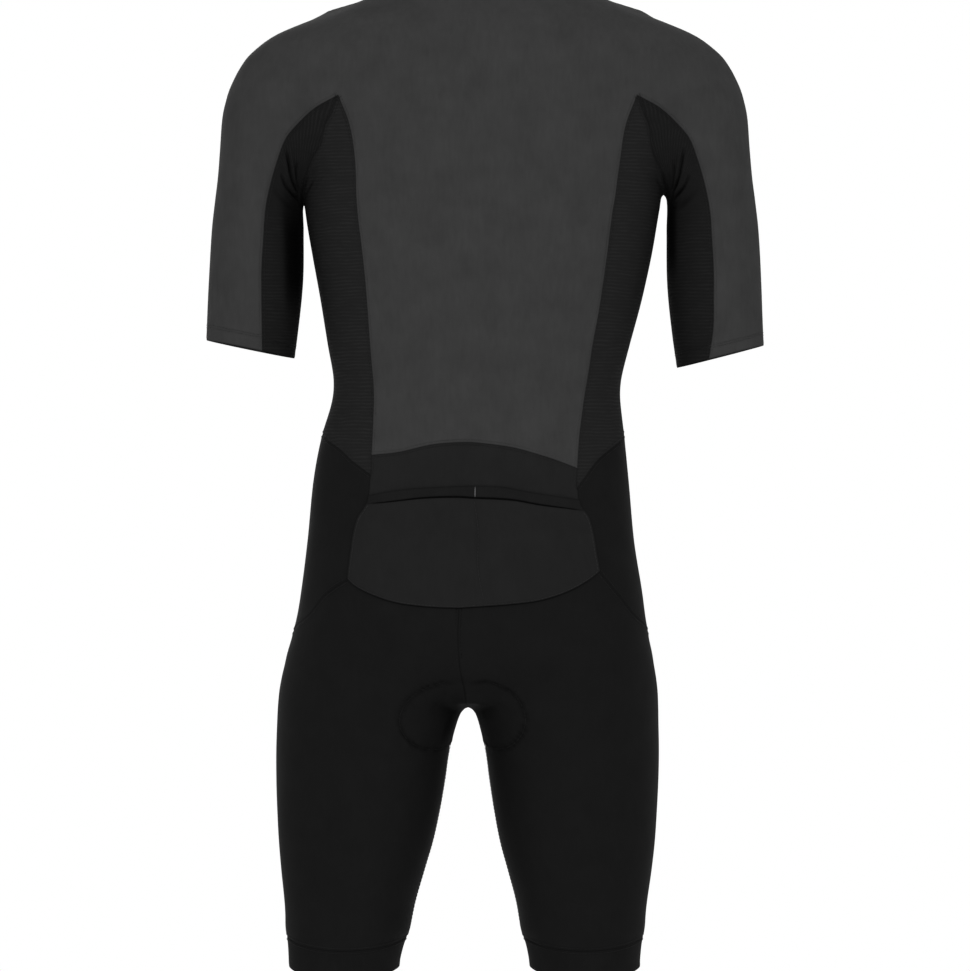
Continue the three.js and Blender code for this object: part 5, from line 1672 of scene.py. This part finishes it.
def ribbed(name, colour, crest, period=3.3, along_arm=False):
    """Level ribs: a wave of the height, warped by noise by about a fifth of a rib, raised to a
    power so that the ridges are narrow, and broken up by a second noise. On the arms they fan
    out above from the armpit's fold, by the angle round it in thousandths of a radian."""
    f = Finish(name, Roughness=0.86, Specular_IOR_Level=CLOTH_SHINE)
    u, v = f.cloth_place()
    level = f.object_mm(2)
    warp = f.noise(26, 2.0, (1, 1, 2.2))
    fine = f.noise(150, 1.0, (1, 1, 3))
    ribs = f.wave(level + 5.0 * (warp - 0.5) + 0.9 * (fine - 0.5), period)
    if along_arm:
        across = f.object_mm(0)
        away = across.math("ABSOLUTE", across) - FOLD_OUT
        turn = away.math("ARCTAN2", level - FOLD_HEIGHT, away)
        fans = f.wave(turn * 1000 + 60.0 * (warp - 0.5), 46)
        upper = f.step(level, -205.0, -165.0)
        ribs = ribs * (1 - upper) + fans * upper
    ridge = ribs ** 1.8
    broken = f.step(f.noise(60, 2.0, (1, 1, 2.5)), 0.36, 0.62, 0.25, 1.0)
    # painted shade along the piece's edges and in its tight creases
    seam_dark = worn_edges(f)
    holes = f.wave(u, 1.1) * f.wave(v, 1.1)
    amount = ridge * broken * 0.75 + 0.2 * holes
    shade = f.between(amount, tuple(colour), tuple(crest))
    f.paint(Base_Color=f.between(seam_dark, (0, 0, 0), shade))
    low = f.bump(ridge * broken, 0.26 * MM, 0.8)
    f.paint(Normal=f.bump(holes, 0.1 * MM, 0.5, low))
    f.paint(Roughness=0.9 - 0.1 * ridge)
    return f


GREY_KNIT = knit("grey_knit_finish", grey(0.0475), vary=0.07)
SIDE_MESH = ribbed("black_mesh_finish", grey(0.0175), grey(0.0255))
ARM_MESH = ribbed("arm_mesh_finish", grey(0.0125), grey(0.0190), along_arm=True)
POCKET_KNIT = knit("black_pocket_finish", grey(0.0180), vary=0.06, rough=0.78)
BAND_KNIT = knit("pocket_band_finish", grey(0.0130), vary=0.08, wale=1.1, course=0.9, rough=0.8)
SHORTS_KNIT = knit("black_shorts_finish", grey(0.0100), vary=0.06, wale=0.5, course=0.42,
                   height=0.035, rough=0.74)
GRIPPER_KNIT = knit("black_gripper_finish", grey(0.0100), vary=0.08, wale=1.4, course=0.7,
                    height=0.08, rough=0.8)
THREAD_GREY = Finish("grey_thread_finish", Roughness=0.6, Specular_IOR_Level=0.25)
THREAD_MID = Finish("pale_thread_finish", Roughness=0.6, Specular_IOR_Level=0.25)
THREAD_BLACK = Finish("black_thread_finish", Roughness=0.6, Specular_IOR_Level=0.25)
for thread, value in ((THREAD_GREY, 0.042), (THREAD_BLACK, 0.011), (THREAD_MID, 0.029)):
    twist = thread.noise(900, 2.0)
    thread.paint(Base_Color=thread.between(twist, grey(value * 0.7), grey(value * 1.3)))
    thread.paint(Normal=thread.bump(thread.noise(1600, 1.0), 0.05 * MM, 0.6))
# Near-black: painted shadow of the pocket mouth's gap, on the cord along it.
ELASTIC = Finish("mouth_cord_painted_shadow_finish", Roughness=0.9, Specular_IOR_Level=0.04)
ELASTIC.paint(Base_Color=ELASTIC.between(ELASTIC.noise(300), grey(0.0015), grey(0.004)))
TACK = Finish("bartack_finish", Roughness=0.6, Specular_IOR_Level=0.2)
wraps = TACK.wave(TACK.object_mm(2) + 0.3 * TACK.noise(300), 0.8)
TACK.paint(Base_Color=TACK.between(wraps, grey(0.07), grey(0.16)),
           Normal=TACK.bump(wraps, 0.15 * MM, 0.8))
print("knits: 7, threads: 3")

# %% [markdown]
# The pad is foam under a brushed cloth, with small pricked holes. The zip's coil is dyed nylon,
# and the slider is cast metal under black paint that has worn a little in scattered patches.

# %% Foam, coil and painted metal
FOAM = Finish("pad_foam_finish", Roughness=0.92, Specular_IOR_Level=0.12)
holes = FOAM.add("ShaderNodeTexVoronoi", None,
                 {"Vector": FOAM.object_place(), "Scale": 240.0, "Randomness": 0.15})
pricks = FOAM.step(holes, 0.1, 0.32)
FOAM.paint(Base_Color=FOAM.between(pricks * (0.8 + 0.4 * FOAM.noise(70)), grey(0.006),
                                   grey(0.026)))
FOAM.paint(Normal=FOAM.bump(pricks, 0.5 * MM, 0.8))
COIL = Finish("zip_coil_finish", Roughness=0.42, Specular_IOR_Level=0.4)
COIL.paint(Base_Color=COIL.between(COIL.noise(500, 2.0), grey(0.006), grey(0.013)),
           Roughness=0.34 + 0.2 * COIL.noise(700))
TAPE = knit("zip_tape_finish", grey(0.008), wale=0.8, course=0.6, rough=0.8)
METAL = Finish("zip_metal_finish", Roughness=0.4, Specular_IOR_Level=0.5)
worn = METAL.step(METAL.noise(420, 4.0), 0.55, 0.72)
METAL.paint(
    Base_Color=METAL.between(worn, grey(0.014), grey(0.16)),
    Metallic=worn * 0.9,
    Roughness=0.36 + 0.18 * METAL.noise(260, 3.0),
    Normal=METAL.bump(METAL.noise(900, 2.0), 0.03 * MM, 0.5),
)


def dress(finish, *things):
    """Gives finished pieces their material."""
    for thing in things:
        thing.data.materials.append(finish.material)


dress(GREY_KNIT, back, *fronts, neck_band)
dress(SIDE_MESH, *sides)
dress(ARM_MESH, *under_sleeves)
dress(POCKET_KNIT, lower_back, pocket)
dress(BAND_KNIT, pocket_band)
dress(SHORTS_KNIT, *hips, *legs)
dress(GRIPPER_KNIT, *grippers)
dress(FOAM, pad)
dress(TAPE, zip_tape)
dress(COIL, *teeth)
dress(METAL, slider, tab)
dress(THREAD_GREY, grey_threads, grey_hem_threads)
dress(THREAD_BLACK, black_threads, black_hem_threads, pad_threads)
dress(THREAD_MID, pocket_threads, hem_row)
dress(ELASTIC, mouth_cord)
dress(TACK, bartack)
print("materials:", len(bpy.data.materials))

# %% [markdown]
# ## The floor
#
# The suit hangs at a wearer's height, so the floor lies where the feet would be. It is a plain
# pale sheet, bright enough to go over into the white behind.

# %% Floor
FLOOR_HEIGHT, FLOOR_REACH = -1450, 4000
corners = [(-1, -1), (1, -1), (1, 1), (-1, 1)]
floor = make_mesh(
    "floor", np.array([(x * FLOOR_REACH, y * FLOOR_REACH, FLOOR_HEIGHT) for x, y in corners]),
    [(0, 1, 2, 3)],
)
FLOOR = Finish("floor_finish", Roughness=0.9, Specular_IOR_Level=0.1)
FLOOR.paint(Base_Color=FLOOR.between(FLOOR.noise(3, 3.0), grey(0.86), grey(0.9)))
dress(FLOOR, floor)

# %% [markdown]
# Last, the cut area of the whole dressed suit is printed.

# %% Sizes and the end
print("cut area of the whole suit:", round(sum(CUT_AREAS.values()), 3), "m2")
